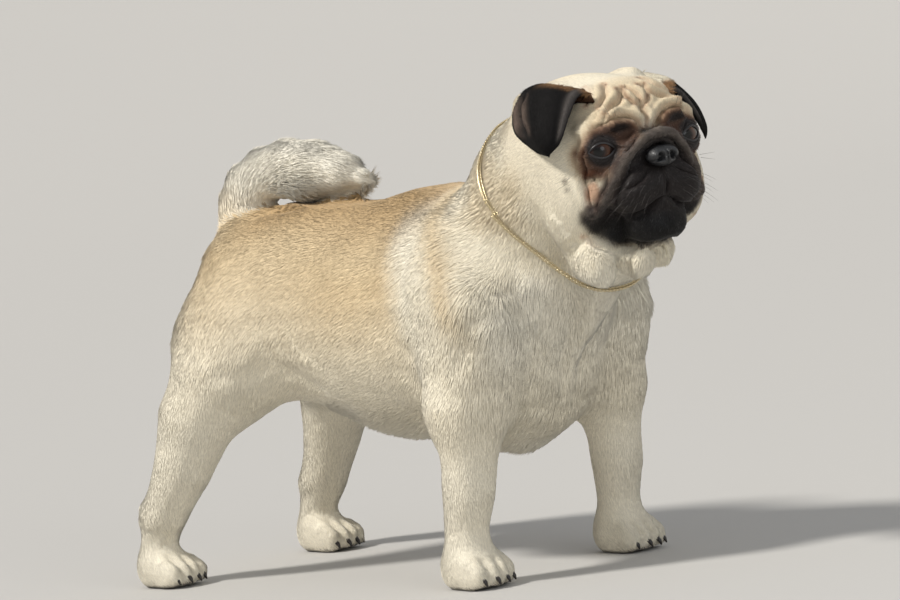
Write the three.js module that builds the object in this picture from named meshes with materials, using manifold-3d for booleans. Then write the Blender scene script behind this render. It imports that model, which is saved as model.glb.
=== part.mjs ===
// A standing pug, life size, as a still model. Millimetres, +Z up, the dog faces +X and its left side is +Y.
// The body is one smooth field of rounded masses. Each sub-part is meshed from that field on its own grid,
// and thin cuts part it from its neighbours. Places in the head are given in the head's own frame, whose
// origin is the middle of the skull.
import * as THREE from "three";
import { mergeVertices } from "three/addons/utils/BufferGeometryUtils.js";
import Module from "manifold-3d";

const wasm = await Module();
wasm.setup();

// Driving sizes: the back line, the brisket's and chest's sizes, where the feet, head, eyes and nose are.
const GAP = 0.3;
const BACK = 273;
const BRISKET = 99;
const CHEST_X = 62;
const CHEST_HALF = 88;
const HIP_X = -94;
const FORE_Y = 79;
const HIND_Y = 82;
const FORE_FOOT = { left: 152, right: 145 };
const HIND_FOOT = { left: -145, right: -153 };
const HEAD_AT = [246, -2, 286];
const HEAD_YAW = -20;
const HEAD_ROLL = 3;
const EYE = [43, 32, 11];
const EYE_RADIUS = 12.5;
const EYE_TURN = 20;
const NOSE = [70, 0, 2];
const TOUCH = 0.42;
const TAIL_LIFT = 0.9;

// Field functions: each takes a point and gives its distance to a rounded mass, negative inside.

const rad = THREE.MathUtils.degToRad;

// An ellipsoid with its half sizes along its own axes, turned about Y, then Z, then X, in degrees.
function egg(centre, half, turnY = 0, turnZ = 0, turnX = 0) {
  const q = new THREE.Quaternion().setFromEuler(new THREE.Euler(rad(turnX), rad(turnY), rad(turnZ), "ZYX"));
  const m = new THREE.Matrix4().makeRotationFromQuaternion(q.invert()).elements;
  const [a, b, c] = half;
  return (x, y, z) => {
    const dx = x - centre[0];
    const dy = y - centre[1];
    const dz = z - centre[2];
    const px = m[0] * dx + m[4] * dy + m[8] * dz;
    const py = m[1] * dx + m[5] * dy + m[9] * dz;
    const pz = m[2] * dx + m[6] * dy + m[10] * dz;
    const k0 = Math.hypot(px / a, py / b, pz / c);
    const k1 = Math.hypot(px / (a * a), py / (b * b), pz / (c * c));
    return k1 < 1e-9 ? -Math.min(a, b, c) : (k0 * (k0 - 1)) / k1;
  };
}

// A tapered rod between two points with a radius at each end.
function rod(p, rp, q, rq) {
  const d = [q[0] - p[0], q[1] - p[1], q[2] - p[2]];
  const len2 = d[0] * d[0] + d[1] * d[1] + d[2] * d[2];
  return (x, y, z) => {
    const ax = x - p[0];
    const ay = y - p[1];
    const az = z - p[2];
    const t = Math.min(1, Math.max(0, (ax * d[0] + ay * d[1] + az * d[2]) / len2));
    return Math.hypot(ax - t * d[0], ay - t * d[1], az - t * d[2]) - (rp + (rq - rp) * t);
  };
}

// A chain of rods through [x, y, z, radius] points.
function chain(points, soft = 0) {
  const rods = points.slice(1).map((q, i) => rod(points[i], points[i][3], q, q[3]));
  return join(soft, ...rods);
}

// Masses joined with a fillet about as wide as soft.
function join(soft, ...fields) {
  return (x, y, z) => {
    let d = fields[0](x, y, z);
    for (let i = 1; i < fields.length; i++) d = softMin(d, fields[i](x, y, z), soft);
    return d;
  };
}

function softMin(a, b, k) {
  if (k <= 0) return Math.min(a, b);
  const h = Math.max(k - Math.abs(a - b), 0) / k;
  return Math.min(a, b) - (h * h * k) / 4;
}

// A mass with others pressed into it, with a rounded lip.
function carve(soft, field, ...tools) {
  return (x, y, z) => {
    let d = field(x, y, z);
    for (const tool of tools) d = -softMin(-d, tool(x, y, z), soft);
    return d;
  };
}

// The same mass on both sides of the middle plane.
const both = (field) => (x, y, z) => field(x, Math.abs(y), z);

// Body masses

const ribs = egg([CHEST_X, 0, (BACK + BRISKET) / 2], [102, CHEST_HALF, (BACK - BRISKET) / 2]);
const loin = egg([-28, 0, BACK - 77], [92, 72, 75]);
const pelvis = egg([HIP_X + 3, 0, BACK - 67], [43, 60, 61], -18);
const withers = egg([98, 0, 222], [56, 52, 52]);
const forechest = egg([140, 0, 159], [52, 66, 73]);
const shoulders = both(egg([122, 52, 196], [44, 38, 68], 20));
const upperArms = both(rod([166, 66, 184], 37, [154, 77, 122], 27));
const thighs = both(egg([-94, 54, 164], [44, 34, 50], -14));
const neckMass = chain([[152, 0, 220, 53], [191, -1, 265, 57], [220, -4, 290, 55]], 6);
const throat = rod([240, -8, 236], 30, [184, 0, 196], 36);
const trunk = join(30, ribs, loin, pelvis, withers, forechest);

// Limbs, from the joint that leaves the body down to the foot. The near feet stand a little further back.

function foreLeg(side, foot) {
  const at = (x, y, z, radius) => [x, side * y, z, radius];
  return chain(
    [
      at(154, 77, 124, 25),
      at(155, FORE_Y - 1, 98, 21),
      at((155 + foot) / 2 + 1, FORE_Y, 68, 19.5),
      at(foot, FORE_Y, 40, 16),
      at(foot, FORE_Y, 26, 16),
    ],
    1,
  );
}

function hindLeg(side, foot) {
  const at = (x, y, z, radius) => [x, side * y, z, radius];
  const thigh = chain(
    [
      at(-92, 64, 150, 36),
      at(-109, 75, 124, 30),
      at(-124, 80, 90, 23),
      at(foot + 7, HIND_Y, 56, 17.5),
    ],
    1,
  );
  const heel = foot - 6;
  const shank = chain([at(foot - 1, HIND_Y, 52, 15), at(heel, HIND_Y, 34, 13), at(heel, HIND_Y, 18, 13)], 1);
  return join(12, thigh, shank);
}

// A foot seen from its middle: a pad, four arched toes parted by grooves, and a claw on each.
function paw(x, y, length, width) {
  const toes = [-1.5, -0.5, 0.5, 1.5].map((i) => {
    const reach = length * (0.24 - 0.035 * i * i);
    const side = i * width * 0.235;
    const toe = egg([x + reach, y + side, 10], [length * 0.3, width * 0.145, 12], 8, i * 5);
    const tip = [x + reach + length * 0.27, y + side * 1.06, 7];
    return join(2, toe, rod(tip, 2.6, [tip[0] + 5, tip[1], 3.4], 1.2));
  });
  return join(4, egg([x - length * 0.1, y, 12], [length * 0.38, width * 0.44, 17]), join(1.5, ...toes));
}

const limbs = [
  foreLeg(1, FORE_FOOT.left),
  foreLeg(-1, FORE_FOOT.right),
  hindLeg(1, HIND_FOOT.left),
  hindLeg(-1, HIND_FOOT.right),
];
const paws = [
  paw(FORE_FOOT.left + 3, FORE_Y, 52, 43),
  paw(FORE_FOOT.right + 3, -FORE_Y, 52, 43),
  paw(HIND_FOOT.left + 3, HIND_Y, 52, 39),
  paw(HIND_FOOT.right + 3, -HIND_Y, 52, 39),
];

// Tail: up from the rump and forward in one curl over the back, its tip just left of the spine.
const tailMass = chain(
  [
    [-96, 0, 230, 31],
    [-107, 0, 250, 24],
    [-109, 0, 266, 20.5],
    [-104, 1, 280, 19.5],
    [-91, 2, 291, 18.5],
    [-70, 3, 298, 17.5],
    [-44, 4, 297, 17.5],
    [-20, 6, 290, 15.5],
    [-1, 8, 284, 9],
  ],
  1,
);

// Head masses, in the head's own frame.

const skull = egg([-6, 0, 8], [60, 59, 50]);
const brow = egg([24, 0, 22], [33, 47, 35]);
const cheeks = both(egg([3, 39, -20], [37, 23, 36]));
const muzzleMass = egg([44, 0, -16], [26, 28, 24]);
const lips = both(egg([51, 18, -17], [18, 16, 19], 0, -12));
const chin = egg([48, 0, -46], [22, 22, 12.5]);
const noseRoll = both(
  chain([[68, 0, 16, 5.5], [64, 12, 14, 6], [59, 23, 5, 6], [51, 33, -10, 6], [38, 41, -28, 6]], 2),
);
const browFolds = both(chain([[54, 10, 28, 6], [51, 26, 31, 7], [40, 42, 26, 6]], 3));
const throatSkin = egg([9, -5, -59], [28, 35, 21], -20);
const dewlaps = join(
  2,
  egg([26, -39, -68], [16, 13, 16], -25),
  egg([34, -11, -70], [15, 10.5, 11.5], -25),
  egg([27, 14.5, -66], [14, 9, 14], -25),
);
const [eyeX, eyeY, eyeZ] = EYE;
const gaze = [Math.cos(rad(EYE_TURN)), Math.sin(rad(EYE_TURN))];
const lidRadius = EYE_RADIUS + 3.2;
const lids = both(egg(EYE, [lidRadius, lidRadius, lidRadius]));
const lidSlit = [eyeX + gaze[0] * EYE_RADIUS, eyeY + gaze[1] * EYE_RADIUS, eyeZ - 0.5];
const aperture = both(egg(lidSlit, [9.5, 8.8, 6.2], 0, EYE_TURN));
const headMass = carve(
  2,
  join(
    3,
    join(10, skull, brow, cheeks, muzzleMass, chin),
    lips,
    noseRoll,
    browFolds,
    lids,
  ),
  aperture,
);

const headPlace = new THREE.Matrix4().compose(
  new THREE.Vector3(...HEAD_AT),
  new THREE.Quaternion().setFromEuler(new THREE.Euler(rad(HEAD_ROLL), 0, rad(HEAD_YAW), "ZYX")),
  new THREE.Vector3(1, 1, 1),
);

// A field in the head's frame, read at a point of the body's frame, and the other way round.
function moved(field, matrix) {
  const m = matrix.clone().invert().elements;
  return (x, y, z) =>
    field(
      m[0] * x + m[4] * y + m[8] * z + m[12],
      m[1] * x + m[5] * y + m[9] * z + m[13],
      m[2] * x + m[6] * y + m[10] * z + m[14],
    );
}

const body = join(14, join(30, trunk, shoulders, upperArms, thighs), ...limbs, ...paws);
const whole = join(
  4,
  join(16, join(22, body, neckMass, throat), moved(join(10, headMass, throatSkin), headPlace)),
  moved(dewlaps, headPlace),
);
const wholeInHead = moved(whole, headPlace.clone().invert());

// Meshing

// Steps along one axis: from low to each [limit, step] in turn.
function ticks(low, spans) {
  const out = [low];
  for (const [limit, step] of spans) {
    const from = out[out.length - 1];
    const count = Math.max(1, Math.round((limit - from) / step));
    for (let i = 1; i <= count; i++) out.push(from + ((limit - from) * i) / count);
  }
  return out;
}

const CORNERS = [0, 1, 2, 3, 4, 5, 6, 7].map((c) => [c & 1, (c >> 1) & 1, (c >> 2) & 1]);

// Which inside corners of a cell hang together along its edges, for each of the 256 cases.
const GROUPS = Array.from({ length: 256 }, (_, mask) => {
  const label = new Array(8).fill(-1);
  let count = 0;
  for (let c = 0; c < 8; c++) {
    if (!((mask >> c) & 1) || label[c] >= 0) continue;
    const open = [c];
    label[c] = count;
    while (open.length) {
      const at = open.pop();
      for (const bit of [1, 2, 4]) {
        const next = at ^ bit;
        if ((mask >> next) & 1 && label[next] < 0) {
          label[next] = count;
          open.push(next);
        }
      }
    }
    count++;
  }
  return { label, count };
});

// A closed skin over the inside of a field: one vertex in each cell that the surface crosses, moved onto it.
function skinOf(field, xs, ys, zs) {
  const grid = [xs, ys, zs];
  const [nx, ny, nz] = grid.map((t) => t.length);
  const at = (i, j, k) => i + nx * (j + ny * k);
  const value = new Float64Array(nx * ny * nz);
  for (let k = 0; k < nz; k++) {
    for (let j = 0; j < ny; j++) {
      for (let i = 0; i < nx; i++) {
        const edge = i === 0 || j === 0 || k === 0 || i === nx - 1 || j === ny - 1 || k === nz - 1;
        const d = field(xs[i], ys[j], zs[k]);
        value[at(i, j, k)] = edge ? Math.max(d, 1) : d;
      }
    }
  }
  const maskOf = (i, j, k) => {
    let mask = 0;
    CORNERS.forEach(([a, b, c], n) => {
      if (value[at(i + a, j + b, k + c)] < 0) mask |= 1 << n;
    });
    return mask;
  };
  const points = [];
  const first = new Int32Array(nx * ny * nz).fill(-1);
  for (let k = 0; k < nz - 1; k++) {
    for (let j = 0; j < ny - 1; j++) {
      for (let i = 0; i < nx - 1; i++) {
        const mask = maskOf(i, j, k);
        if (mask === 0 || mask === 255) continue;
        first[at(i, j, k)] = points.length / 3;
        const rim = i === 0 || j === 0 || k === 0 || i === nx - 2 || j === ny - 2 || k === nz - 2;
        const { label, count } = GROUPS[mask];
        for (let group = 0; group < count; group++) {
          points.push(...cellPoint(field, grid, [i, j, k], value, at, label, group, rim));
        }
      }
    }
  }
  const index = [];
  const steps = [[1, 0, 0], [0, 1, 0], [0, 0, 1]];
  for (let k = 0; k < nz - 1; k++) {
    for (let j = 0; j < ny - 1; j++) {
      for (let i = 0; i < nx - 1; i++) {
        steps.forEach((step, axis) => {
          const here = value[at(i, j, k)] < 0;
          if (here === value[at(i + step[0], j + step[1], k + step[2])] < 0) return;
          const b = steps[(axis + 1) % 3];
          const c = steps[(axis + 2) % 3];
          const ring = [[1, 1], [0, 1], [0, 0], [1, 0]].map(([p, q]) => {
            const cell = [0, 1, 2].map((n) => [i, j, k][n] - p * b[n] - q * c[n]);
            const corner = [0, 1, 2].map((n) => p * b[n] + q * c[n] + (here ? 0 : step[n]));
            const group = GROUPS[maskOf(...cell)].label[corner[0] + 2 * corner[1] + 4 * corner[2]];
            return first[at(...cell)] + group;
          });
          if (!here) ring.reverse();
          const [p, q, r, s] = ring;
          if (gapBetween(points, p, r) < gapBetween(points, q, s)) index.push(p, q, r, p, r, s);
          else index.push(p, q, s, q, r, s);
        });
      }
    }
  }
  const geometry = new THREE.BufferGeometry();
  geometry.setAttribute("position", new THREE.Float32BufferAttribute(points, 3));
  geometry.setIndex(index);
  return geometry;
}

function gapBetween(points, p, q) {
  return Math.hypot(...[0, 1, 2].map((n) => points[3 * p + n] - points[3 * q + n]));
}

// The mean of a group's edge crossings, drawn onto the surface unless it closes the skin at the grid's rim.
function cellPoint(field, grid, cell, value, at, label, group, rim) {
  const sum = [0, 0, 0];
  let count = 0;
  for (let c = 0; c < 8; c++) {
    if (label[c] !== group) continue;
    for (let axis = 0; axis < 3; axis++) {
      const other = c ^ (1 << axis);
      if (label[other] >= 0) continue;
      const inside = CORNERS[c].map((bit, n) => cell[n] + bit);
      const outside = CORNERS[other].map((bit, n) => cell[n] + bit);
      const a = value[at(...inside)];
      const b = value[at(...outside)];
      const t = a / (a - b);
      for (let n = 0; n < 3; n++) {
        sum[n] += grid[n][inside[n]] * (1 - t) + grid[n][outside[n]] * t;
      }
      count++;
    }
  }
  const point = sum.map((s) => s / count);
  if (rim) return point;
  const reach = Math.min(...[0, 1, 2].map((n) => grid[n][cell[n] + 1] - grid[n][cell[n]])) * 0.5;
  const start = [...point];
  for (let turn = 0; turn < 3; turn++) {
    const d = field(...point);
    const h = 0.4;
    const slope = [0, 1, 2].map((n) => {
      const up = [...point];
      const down = [...point];
      up[n] += h;
      down[n] -= h;
      return (field(...up) - field(...down)) / (2 * h);
    });
    const steep = slope.reduce((s, v) => s + v * v, 0);
    if (steep < 1e-4) break;
    const next = point.map((p, n) => p - (d * slope[n]) / steep);
    if (Math.hypot(...next.map((p, n) => p - start[n])) > reach) break;
    next.forEach((p, n) => (point[n] = p));
  }
  return point;
}

// Solids

function solid(geometry) {
  const bare = geometry.clone();
  bare.deleteAttribute("normal");
  bare.deleteAttribute("uv");
  const merged = mergeVertices(bare, 1e-4);
  return new wasm.Manifold(
    new wasm.Mesh({
      numProp: 3,
      vertProperties: new Float32Array(merged.attributes.position.array),
      triVerts: new Uint32Array(merged.index.array),
    }),
  );
}

// A meshed field as a solid. Swell moves every vertex out, for the bed that a neighbour is cut by.
function skinSolid(field, xs, ys, zs, swell = 0) {
  const geometry = skinOf(field, xs, ys, zs);
  geometry.computeVertexNormals();
  const { position, normal } = geometry.attributes;
  for (let n = 0; n < position.array.length; n++) position.array[n] += swell * normal.array[n];
  return solid(geometry);
}

function largest(shape) {
  const pieces = shape.decompose();
  return pieces.sort((a, b) => b.volume() - a.volume())[0];
}

const HUGE = 700;

// A region is a list of planes, each [point, normal that points out of it]. This is the block that they
// enclose, moved out by grow at every plane.
function block(planes, grow, matrix = null) {
  const walls = planes.map(([point, normal]) => {
    const turn = new THREE.Quaternion().setFromUnitVectors(
      new THREE.Vector3(0, 0, 1),
      new THREE.Vector3(...normal).normalize(),
    );
    const wall = new THREE.BoxGeometry(HUGE, HUGE, HUGE)
      .translate(0, 0, grow - HUGE / 2)
      .applyQuaternion(turn)
      .translate(...point);
    return solid(matrix ? wall.applyMatrix4(matrix) : wall);
  });
  return walls.reduce((a, b) => a.intersect(b));
}

const within = (shape, planes, matrix) => shape.intersect(block(planes, -GAP / 2, matrix));
const without = (shape, planes, matrix) => shape.subtract(block(planes, GAP / 2, matrix));

function meshOf(name, shape, material) {
  const piece = largest(shape);
  const mesh = piece.getMesh();
  const geometry = new THREE.BufferGeometry();
  const points = new Float32Array(mesh.vertProperties);
  geometry.setAttribute("position", new THREE.BufferAttribute(points, 3));
  geometry.setIndex([...mesh.triVerts]);
  geometry.computeVertexNormals();
  const node = new THREE.Mesh(geometry, material);
  node.name = name;
  return node;
}

// Materials

const coat = (color) => new THREE.MeshStandardMaterial({ color, roughness: 0.9, metalness: 0 });
const fawn = coat(0xd9bf94);
const cream = coat(0xe9dcc0);
const mask = coat(0x2a2523);
const velvet = coat(0x1d1a1a);
const leather = new THREE.MeshStandardMaterial({ color: 0x141313, roughness: 0.4, metalness: 0 });
const glossy = new THREE.MeshStandardMaterial({ color: 0x1a100b, roughness: 0.05, metalness: 0 });
const chainMetal = new THREE.MeshStandardMaterial({ color: 0xc9b27a, roughness: 0.3, metalness: 1 });

// Planes that part the body: each region is a list of [point, normal that points out of it].

const HEAD_CUT = [
  [[-20, 0, -10], [-0.847, 0, -0.531]],
  [[40, 0, -59], [0.2, 0, -0.98]],
];
const NECK_CUT = [[[160, 0, 252], [-0.73, 0, -0.68]]];
const CURL_CUT = [[[-82, 0, 296], [-0.97, 0, -0.24]]];
const FORE_CUT = (side) => [
  [[150, 44 * side, 104], [0, -0.4 * side, 0.916]],
  [[150, 40 * side, 60], [0, -side, 0]],
  [[90, 0, 0], [-1, 0, 0]],
  [[220, 0, 0], [1, 0, 0]],
];
const HIND_CUT = (side) => [
  [[-110, 0, 176], [0.52, 0, 0.854]],
  [[-110, 14 * side, 100], [0, -side, 0]],
  [[-30, 0, 0], [1, 0, 0]],
];
const ANKLE_CUT = [[[0, 0, 29], [0, 0, 1]]];
const SOLE = [[[0, 0, 0], [0, 0, -1]]];
const MUZZLE_CUT = [
  [[57, 0, 3], [-0.656, 0, 0.755]],
  [[30, 0, -30], [-1, 0, 0]],
  [[60, 0, -36], [0.35, 0, -0.937]],
];
const JAW_CUT = [
  [[60, 0, -36], [-0.35, 0, 0.937]],
  [[26, 0, -50], [-0.94, 0, -0.34]],
  [[0, 27, 0], [0, 1, 0]],
  [[0, -27, 0], [0, -1, 0]],
];

// The whole part

const dog = new THREE.Group();
const head = new THREE.Group();
head.applyMatrix4(headPlace);
dog.add(head);

const torsoSkin = (swell) =>
  skinSolid(whole, ticks(-200, [[240, 17]]), ticks(-130, [[130, 16]]), ticks(50, [[330, 17]]), swell);

function torsoNode() {
  let shape = torsoSkin(0);
  for (const side of [1, -1]) {
    shape = without(shape, FORE_CUT(side));
    shape = without(shape, HIND_CUT(side));
  }
  return meshOf("torso", shape.subtract(block(NECK_CUT, GAP / 2)), fawn);
}

function tailNodes() {
  const skin = skinSolid(
    tailMass,
    ticks(-170, [[20, 8]]),
    ticks(-42, [[42, 8]]),
    ticks(190, [[330, 8]]),
  ).subtract(torsoSkin(TOUCH));
  return [
    meshOf("tail_base", without(skin, CURL_CUT), cream),
    meshOf("tail_curl", within(skin, CURL_CUT).subtract(torsoSkin(TAIL_LIFT)), cream),
  ];
}

function legNodes(side, word) {
  const at = (a, b, step) => (side > 0 ? ticks(a, [[b, step]]) : ticks(-b, [[-a, step]]));
  const fore = skinSolid(whole, ticks(98, [[212, 9]]), at(36, 128, 9), ticks(12, [[168, 11]]));
  const hind = skinSolid(whole, ticks(-196, [[-14, 12]]), at(8, 132, 11), ticks(12, [[250, 12]]));
  const foreFoot = skinSolid(whole, ticks(104, [[206, 6.5]]), at(46, 112, 5), ticks(-9, [[42, 7]]));
  const hindFoot = skinSolid(whole, ticks(-194, [[-98, 6.5]]), at(50, 116, 5), ticks(-9, [[42, 7]]));
  const foot = (skin) => within(skin, ANKLE_CUT).intersect(block(SOLE, 0));
  return [
    meshOf(`foreleg_${word}`, without(within(fore, FORE_CUT(side)), ANKLE_CUT), cream),
    meshOf(`hind_leg_${word}`, without(within(hind, HIND_CUT(side)), ANKLE_CUT), cream),
    meshOf(`paw_front_${word}`, foot(foreFoot), cream),
    meshOf(`paw_hind_${word}`, foot(hindFoot), cream),
  ];
}

dog.add(torsoNode(), ...tailNodes(), ...legNodes(1, "left"), ...legNodes(-1, "right"));

// Head nodes, in the head's own frame

const headSkin = (swell) =>
  skinSolid(
    wholeInHead,
    ticks(-78, [[20, 11], [88, 5.5]]),
    ticks(-88, [[-52, 10], [52, 5.6], [88, 10]]),
    ticks(-92, [[-46, 9], [40, 5.3], [78, 10]]),
    swell,
  );
const faceSkin = () =>
  skinSolid(wholeInHead, ticks(18, [[90, 5.2]]), ticks(-66, [[66, 5.2]]), ticks(-92, [[34, 5.2]]));

const noseMass = carve(
  1.5,
  join(4, egg(NOSE, [8.5, 11.5, 6.8]), egg([NOSE[0] - 2, 0, NOSE[2] + 3.5], [6.5, 9, 4])),
  both(egg([NOSE[0] + 8.5, 5, NOSE[2] - 0.5], [6, 2.4, 2.2])),
  both(egg([NOSE[0] + 5.5, 9, NOSE[2] - 1.5], [6, 3.2, 1.3], 0, 24)),
);
const noseSkin = (swell) =>
  skinSolid(
    noseMass,
    ticks(NOSE[0] - 12, [[NOSE[0] + 12, 2.8]]),
    ticks(-15, [[15, 2.5]]),
    ticks(NOSE[2] - 11, [[NOSE[2] + 12, 2.6]]),
    swell,
  );

function eyeBall(side, radius) {
  return new THREE.SphereGeometry(radius, 14, 9).translate(eyeX, side * eyeY, eyeZ);
}

// Each ear: rows of three points from its root over the fold to the tip, as a thin curved flap. The left
// ear is raised at the back of its fold and stands a little further out.
const EAR_ROWS = {
  right: [
    [[41, -29, 44], [14, -40, 46], [-13, -47, 38]],
    [[41, -33, 51], [12, -48, 59], [-12, -51, 57]],
    [[41, -42, 49], [17, -57, 53], [-18, -60, 43]],
    [[41, -50, 38], [24, -64, 37], [-8, -67, 30]],
    [[40, -57, 25], [30, -67, 23], [12, -68, 20]],
    [[35, -61, 16], [31, -65, 13], [26, -66, 13]],
  ],
  left: [
    [[40, 27, 38], [14, 40, 43], [-26, 42, 38]],
    [[41, 31, 41], [8, 45, 47], [-30, 42, 57]],
    [[42, 37, 39], [12, 53, 43], [-22, 52, 49]],
    [[41, 44, 30], [22, 60, 29], [-6, 62, 34]],
    [[38, 51, 20], [29, 62, 14], [13, 65, 17]],
    [[36, 55, 10], [32, 59, 5], [27, 62, 6]],
  ],
};
const EAR_THICK = 3;

function flap(rows, thick, across, along) {
  const curve = (n) => new THREE.CatmullRomCurve3(rows.map((row) => new THREE.Vector3(...row[n])));
  const lengthwise = [0, 1, 2].map(curve);
  const point = (u, v) => {
    const row = new THREE.CatmullRomCurve3(lengthwise.map((line) => line.getPoint(v)));
    return row.getPoint(u);
  };
  const middle = [];
  for (let j = 0; j <= along; j++) {
    for (let i = 0; i <= across; i++) middle.push(point(i / across, j / along));
  }
  const at = (i, j) => i + j * (across + 1);
  const clampTo = (n, top) => Math.min(top, Math.max(0, n));
  const faces = [1, -1].map((way) =>
    middle.map((p, n) => {
      const i = n % (across + 1);
      const j = Math.floor(n / (across + 1));
      const du = middle[at(clampTo(i + 1, across), j)].clone().sub(middle[at(clampTo(i - 1, across), j)]);
      const dv = middle[at(i, clampTo(j + 1, along))].clone().sub(middle[at(i, clampTo(j - 1, along))]);
      const normal = du.cross(dv).normalize();
      return p.clone().addScaledVector(normal, (way * thick) / 2);
    }),
  );
  const points = faces.flat().flatMap((p) => p.toArray());
  const under = middle.length;
  const index = [];
  const quad = (a, b, c, d) => index.push(a, b, c, a, c, d);
  for (let j = 0; j < along; j++) {
    for (let i = 0; i < across; i++) {
      const [a, b, c, d] = [at(i, j), at(i + 1, j), at(i + 1, j + 1), at(i, j + 1)];
      quad(a, b, c, d);
      quad(a + under, d + under, c + under, b + under);
    }
  }
  const rim = [];
  for (let i = 0; i < across; i++) rim.push(at(i, 0));
  for (let j = 0; j < along; j++) rim.push(at(across, j));
  for (let i = across; i > 0; i--) rim.push(at(i, along));
  for (let j = along; j > 0; j--) rim.push(at(0, j));
  rim.forEach((a, n) => {
    const b = rim[(n + 1) % rim.length];
    quad(b, a, a + under, b + under);
  });
  const geometry = new THREE.BufferGeometry();
  geometry.setAttribute("position", new THREE.Float32BufferAttribute(points, 3));
  geometry.setIndex(index);
  return geometry;
}

function earSolid(word) {
  const shape = solid(flap(EAR_ROWS[word], EAR_THICK, 7, 9));
  return shape.subtract(headSkin(TOUCH));
}

// The collar lies on the coat in a plane behind the ears and under the throat.
const COLLAR_BACK = 16;
const COLLAR_LIFT = 0.8;
const COLLAR_RADIUS = 1.9;
const RING_RADIUS = 8;
const RING_THICK = 1.4;
const collarAxis = new THREE.Vector3(0.847, 0, 0.531);
const collarUp = new THREE.Vector3(-0.531, 0, 0.847);
const collarMiddle = new THREE.Vector3(-24, 0, -14).addScaledVector(collarAxis, -COLLAR_BACK);

function surfacePoint(from, way, depth) {
  let low = 10;
  let high = 130;
  for (let n = 0; n < 30; n++) {
    const reach = (low + high) / 2;
    const p = from.clone().addScaledVector(way, reach);
    if (wholeInHead(p.x, p.y, p.z) < -depth) low = reach;
    else high = reach;
  }
  return from.clone().addScaledVector(way, low);
}

function collarTube() {
  const points = [];
  for (let n = 0; n < 28; n++) {
    const angle = (n / 28) * 2 * Math.PI;
    const way = new THREE.Vector3(0, Math.cos(angle), 0).addScaledVector(collarUp, Math.sin(angle));
    points.push(surfacePoint(collarMiddle, way, -(COLLAR_RADIUS + COLLAR_LIFT)));
  }
  return new THREE.TubeGeometry(new THREE.CatmullRomCurve3(points, true), 40, COLLAR_RADIUS, 6, true);
}

// The ring lies on the nape behind the collar, with a bed pressed for it in the neck.
function collarRing(thick) {
  const lift = RING_THICK;
  const nape = surfacePoint(collarMiddle, collarUp, -lift);
  const behind = RING_RADIUS + RING_THICK + COLLAR_RADIUS + GAP;
  const centre = surfacePoint(collarMiddle.clone().addScaledVector(collarAxis, -behind), collarUp, -lift);
  const along = nape.clone().sub(centre).normalize();
  const out = new THREE.Vector3(0, 1, 0).cross(along).normalize().multiplyScalar(-1);
  return new THREE.TorusGeometry(RING_RADIUS, thick, 6, 16)
    .applyQuaternion(new THREE.Quaternion().setFromUnitVectors(new THREE.Vector3(0, 0, 1), out))
    .translate(...centre.toArray());
}

function headNodes() {
  const nose = noseSkin(0);
  const pocket = noseSkin(GAP);
  let skullShape = within(headSkin(0), HEAD_CUT).subtract(block(MUZZLE_CUT, GAP / 2));
  skullShape = skullShape.subtract(block(JAW_CUT, GAP / 2)).subtract(pocket);
  const face = faceSkin();
  let muzzle = within(face, MUZZLE_CUT).subtract(pocket);
  const jaw = within(within(face, JAW_CUT), HEAD_CUT);
  const nodes = [];
  for (const [side, word] of [[1, "left"], [-1, "right"]]) {
    const socket = solid(eyeBall(side, EYE_RADIUS + GAP));
    skullShape = skullShape.subtract(socket);
    muzzle = muzzle.subtract(socket);
    nodes.push(meshOf(`eye_${word}`, solid(eyeBall(side, EYE_RADIUS)), glossy));
    nodes.push(meshOf(`ear_${word}`, earSolid(word), velvet));
  }
  nodes.push(meshOf("head", skullShape, fawn));
  nodes.push(meshOf("muzzle", muzzle, mask));
  nodes.push(meshOf("lower_jaw", jaw, mask));
  nodes.push(meshOf("nose", nose, leather));
  nodes.push(meshOf("collar", solid(collarTube()), chainMetal));
  nodes.push(meshOf("collar_ring", solid(collarRing(RING_THICK)), chainMetal));
  return nodes;
}

function neckNode() {
  const skin = skinSolid(
    whole,
    ticks(90, [[246, 14], [302, 7]]),
    ticks(-110, [[-62, 12], [22, 7], [110, 15]]),
    ticks(140, [[192, 13], [241, 7], [380, 14]]),
  );
  const bed = solid(collarRing(RING_THICK + GAP).applyMatrix4(headPlace));
  const shape = within(skin, NECK_CUT).subtract(block(HEAD_CUT, GAP / 2, headPlace));
  return meshOf("neck", shape.subtract(bed), cream);
}

head.add(...headNodes());
dog.add(neckNode());

// The origin is on the floor, under the middle of the whole part.
const bounds = new THREE.Box3().setFromObject(dog, true);
const middle = bounds.getCenter(new THREE.Vector3());
dog.position.set(-middle.x, -middle.y, -bounds.min.z);

export default dog;
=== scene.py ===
import math

import bmesh
import bpy
import numpy as np
from mathutils import Matrix, Vector
from mathutils.bvhtree import BVHTree


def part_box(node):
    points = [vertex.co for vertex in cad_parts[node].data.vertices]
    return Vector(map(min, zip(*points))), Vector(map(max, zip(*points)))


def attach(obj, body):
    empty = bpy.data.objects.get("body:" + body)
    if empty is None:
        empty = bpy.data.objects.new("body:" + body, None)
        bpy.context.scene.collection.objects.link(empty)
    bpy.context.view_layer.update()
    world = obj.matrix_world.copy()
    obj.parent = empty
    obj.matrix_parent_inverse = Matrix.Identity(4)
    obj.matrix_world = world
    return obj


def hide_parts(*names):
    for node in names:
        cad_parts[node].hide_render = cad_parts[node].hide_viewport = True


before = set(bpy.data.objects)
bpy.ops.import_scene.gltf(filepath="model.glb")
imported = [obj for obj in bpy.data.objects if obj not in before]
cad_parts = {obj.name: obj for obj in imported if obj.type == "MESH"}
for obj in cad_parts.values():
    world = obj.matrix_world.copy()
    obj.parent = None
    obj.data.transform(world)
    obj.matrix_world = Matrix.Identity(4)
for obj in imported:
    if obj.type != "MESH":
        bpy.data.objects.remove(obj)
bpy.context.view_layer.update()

MM = 0.001
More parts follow.
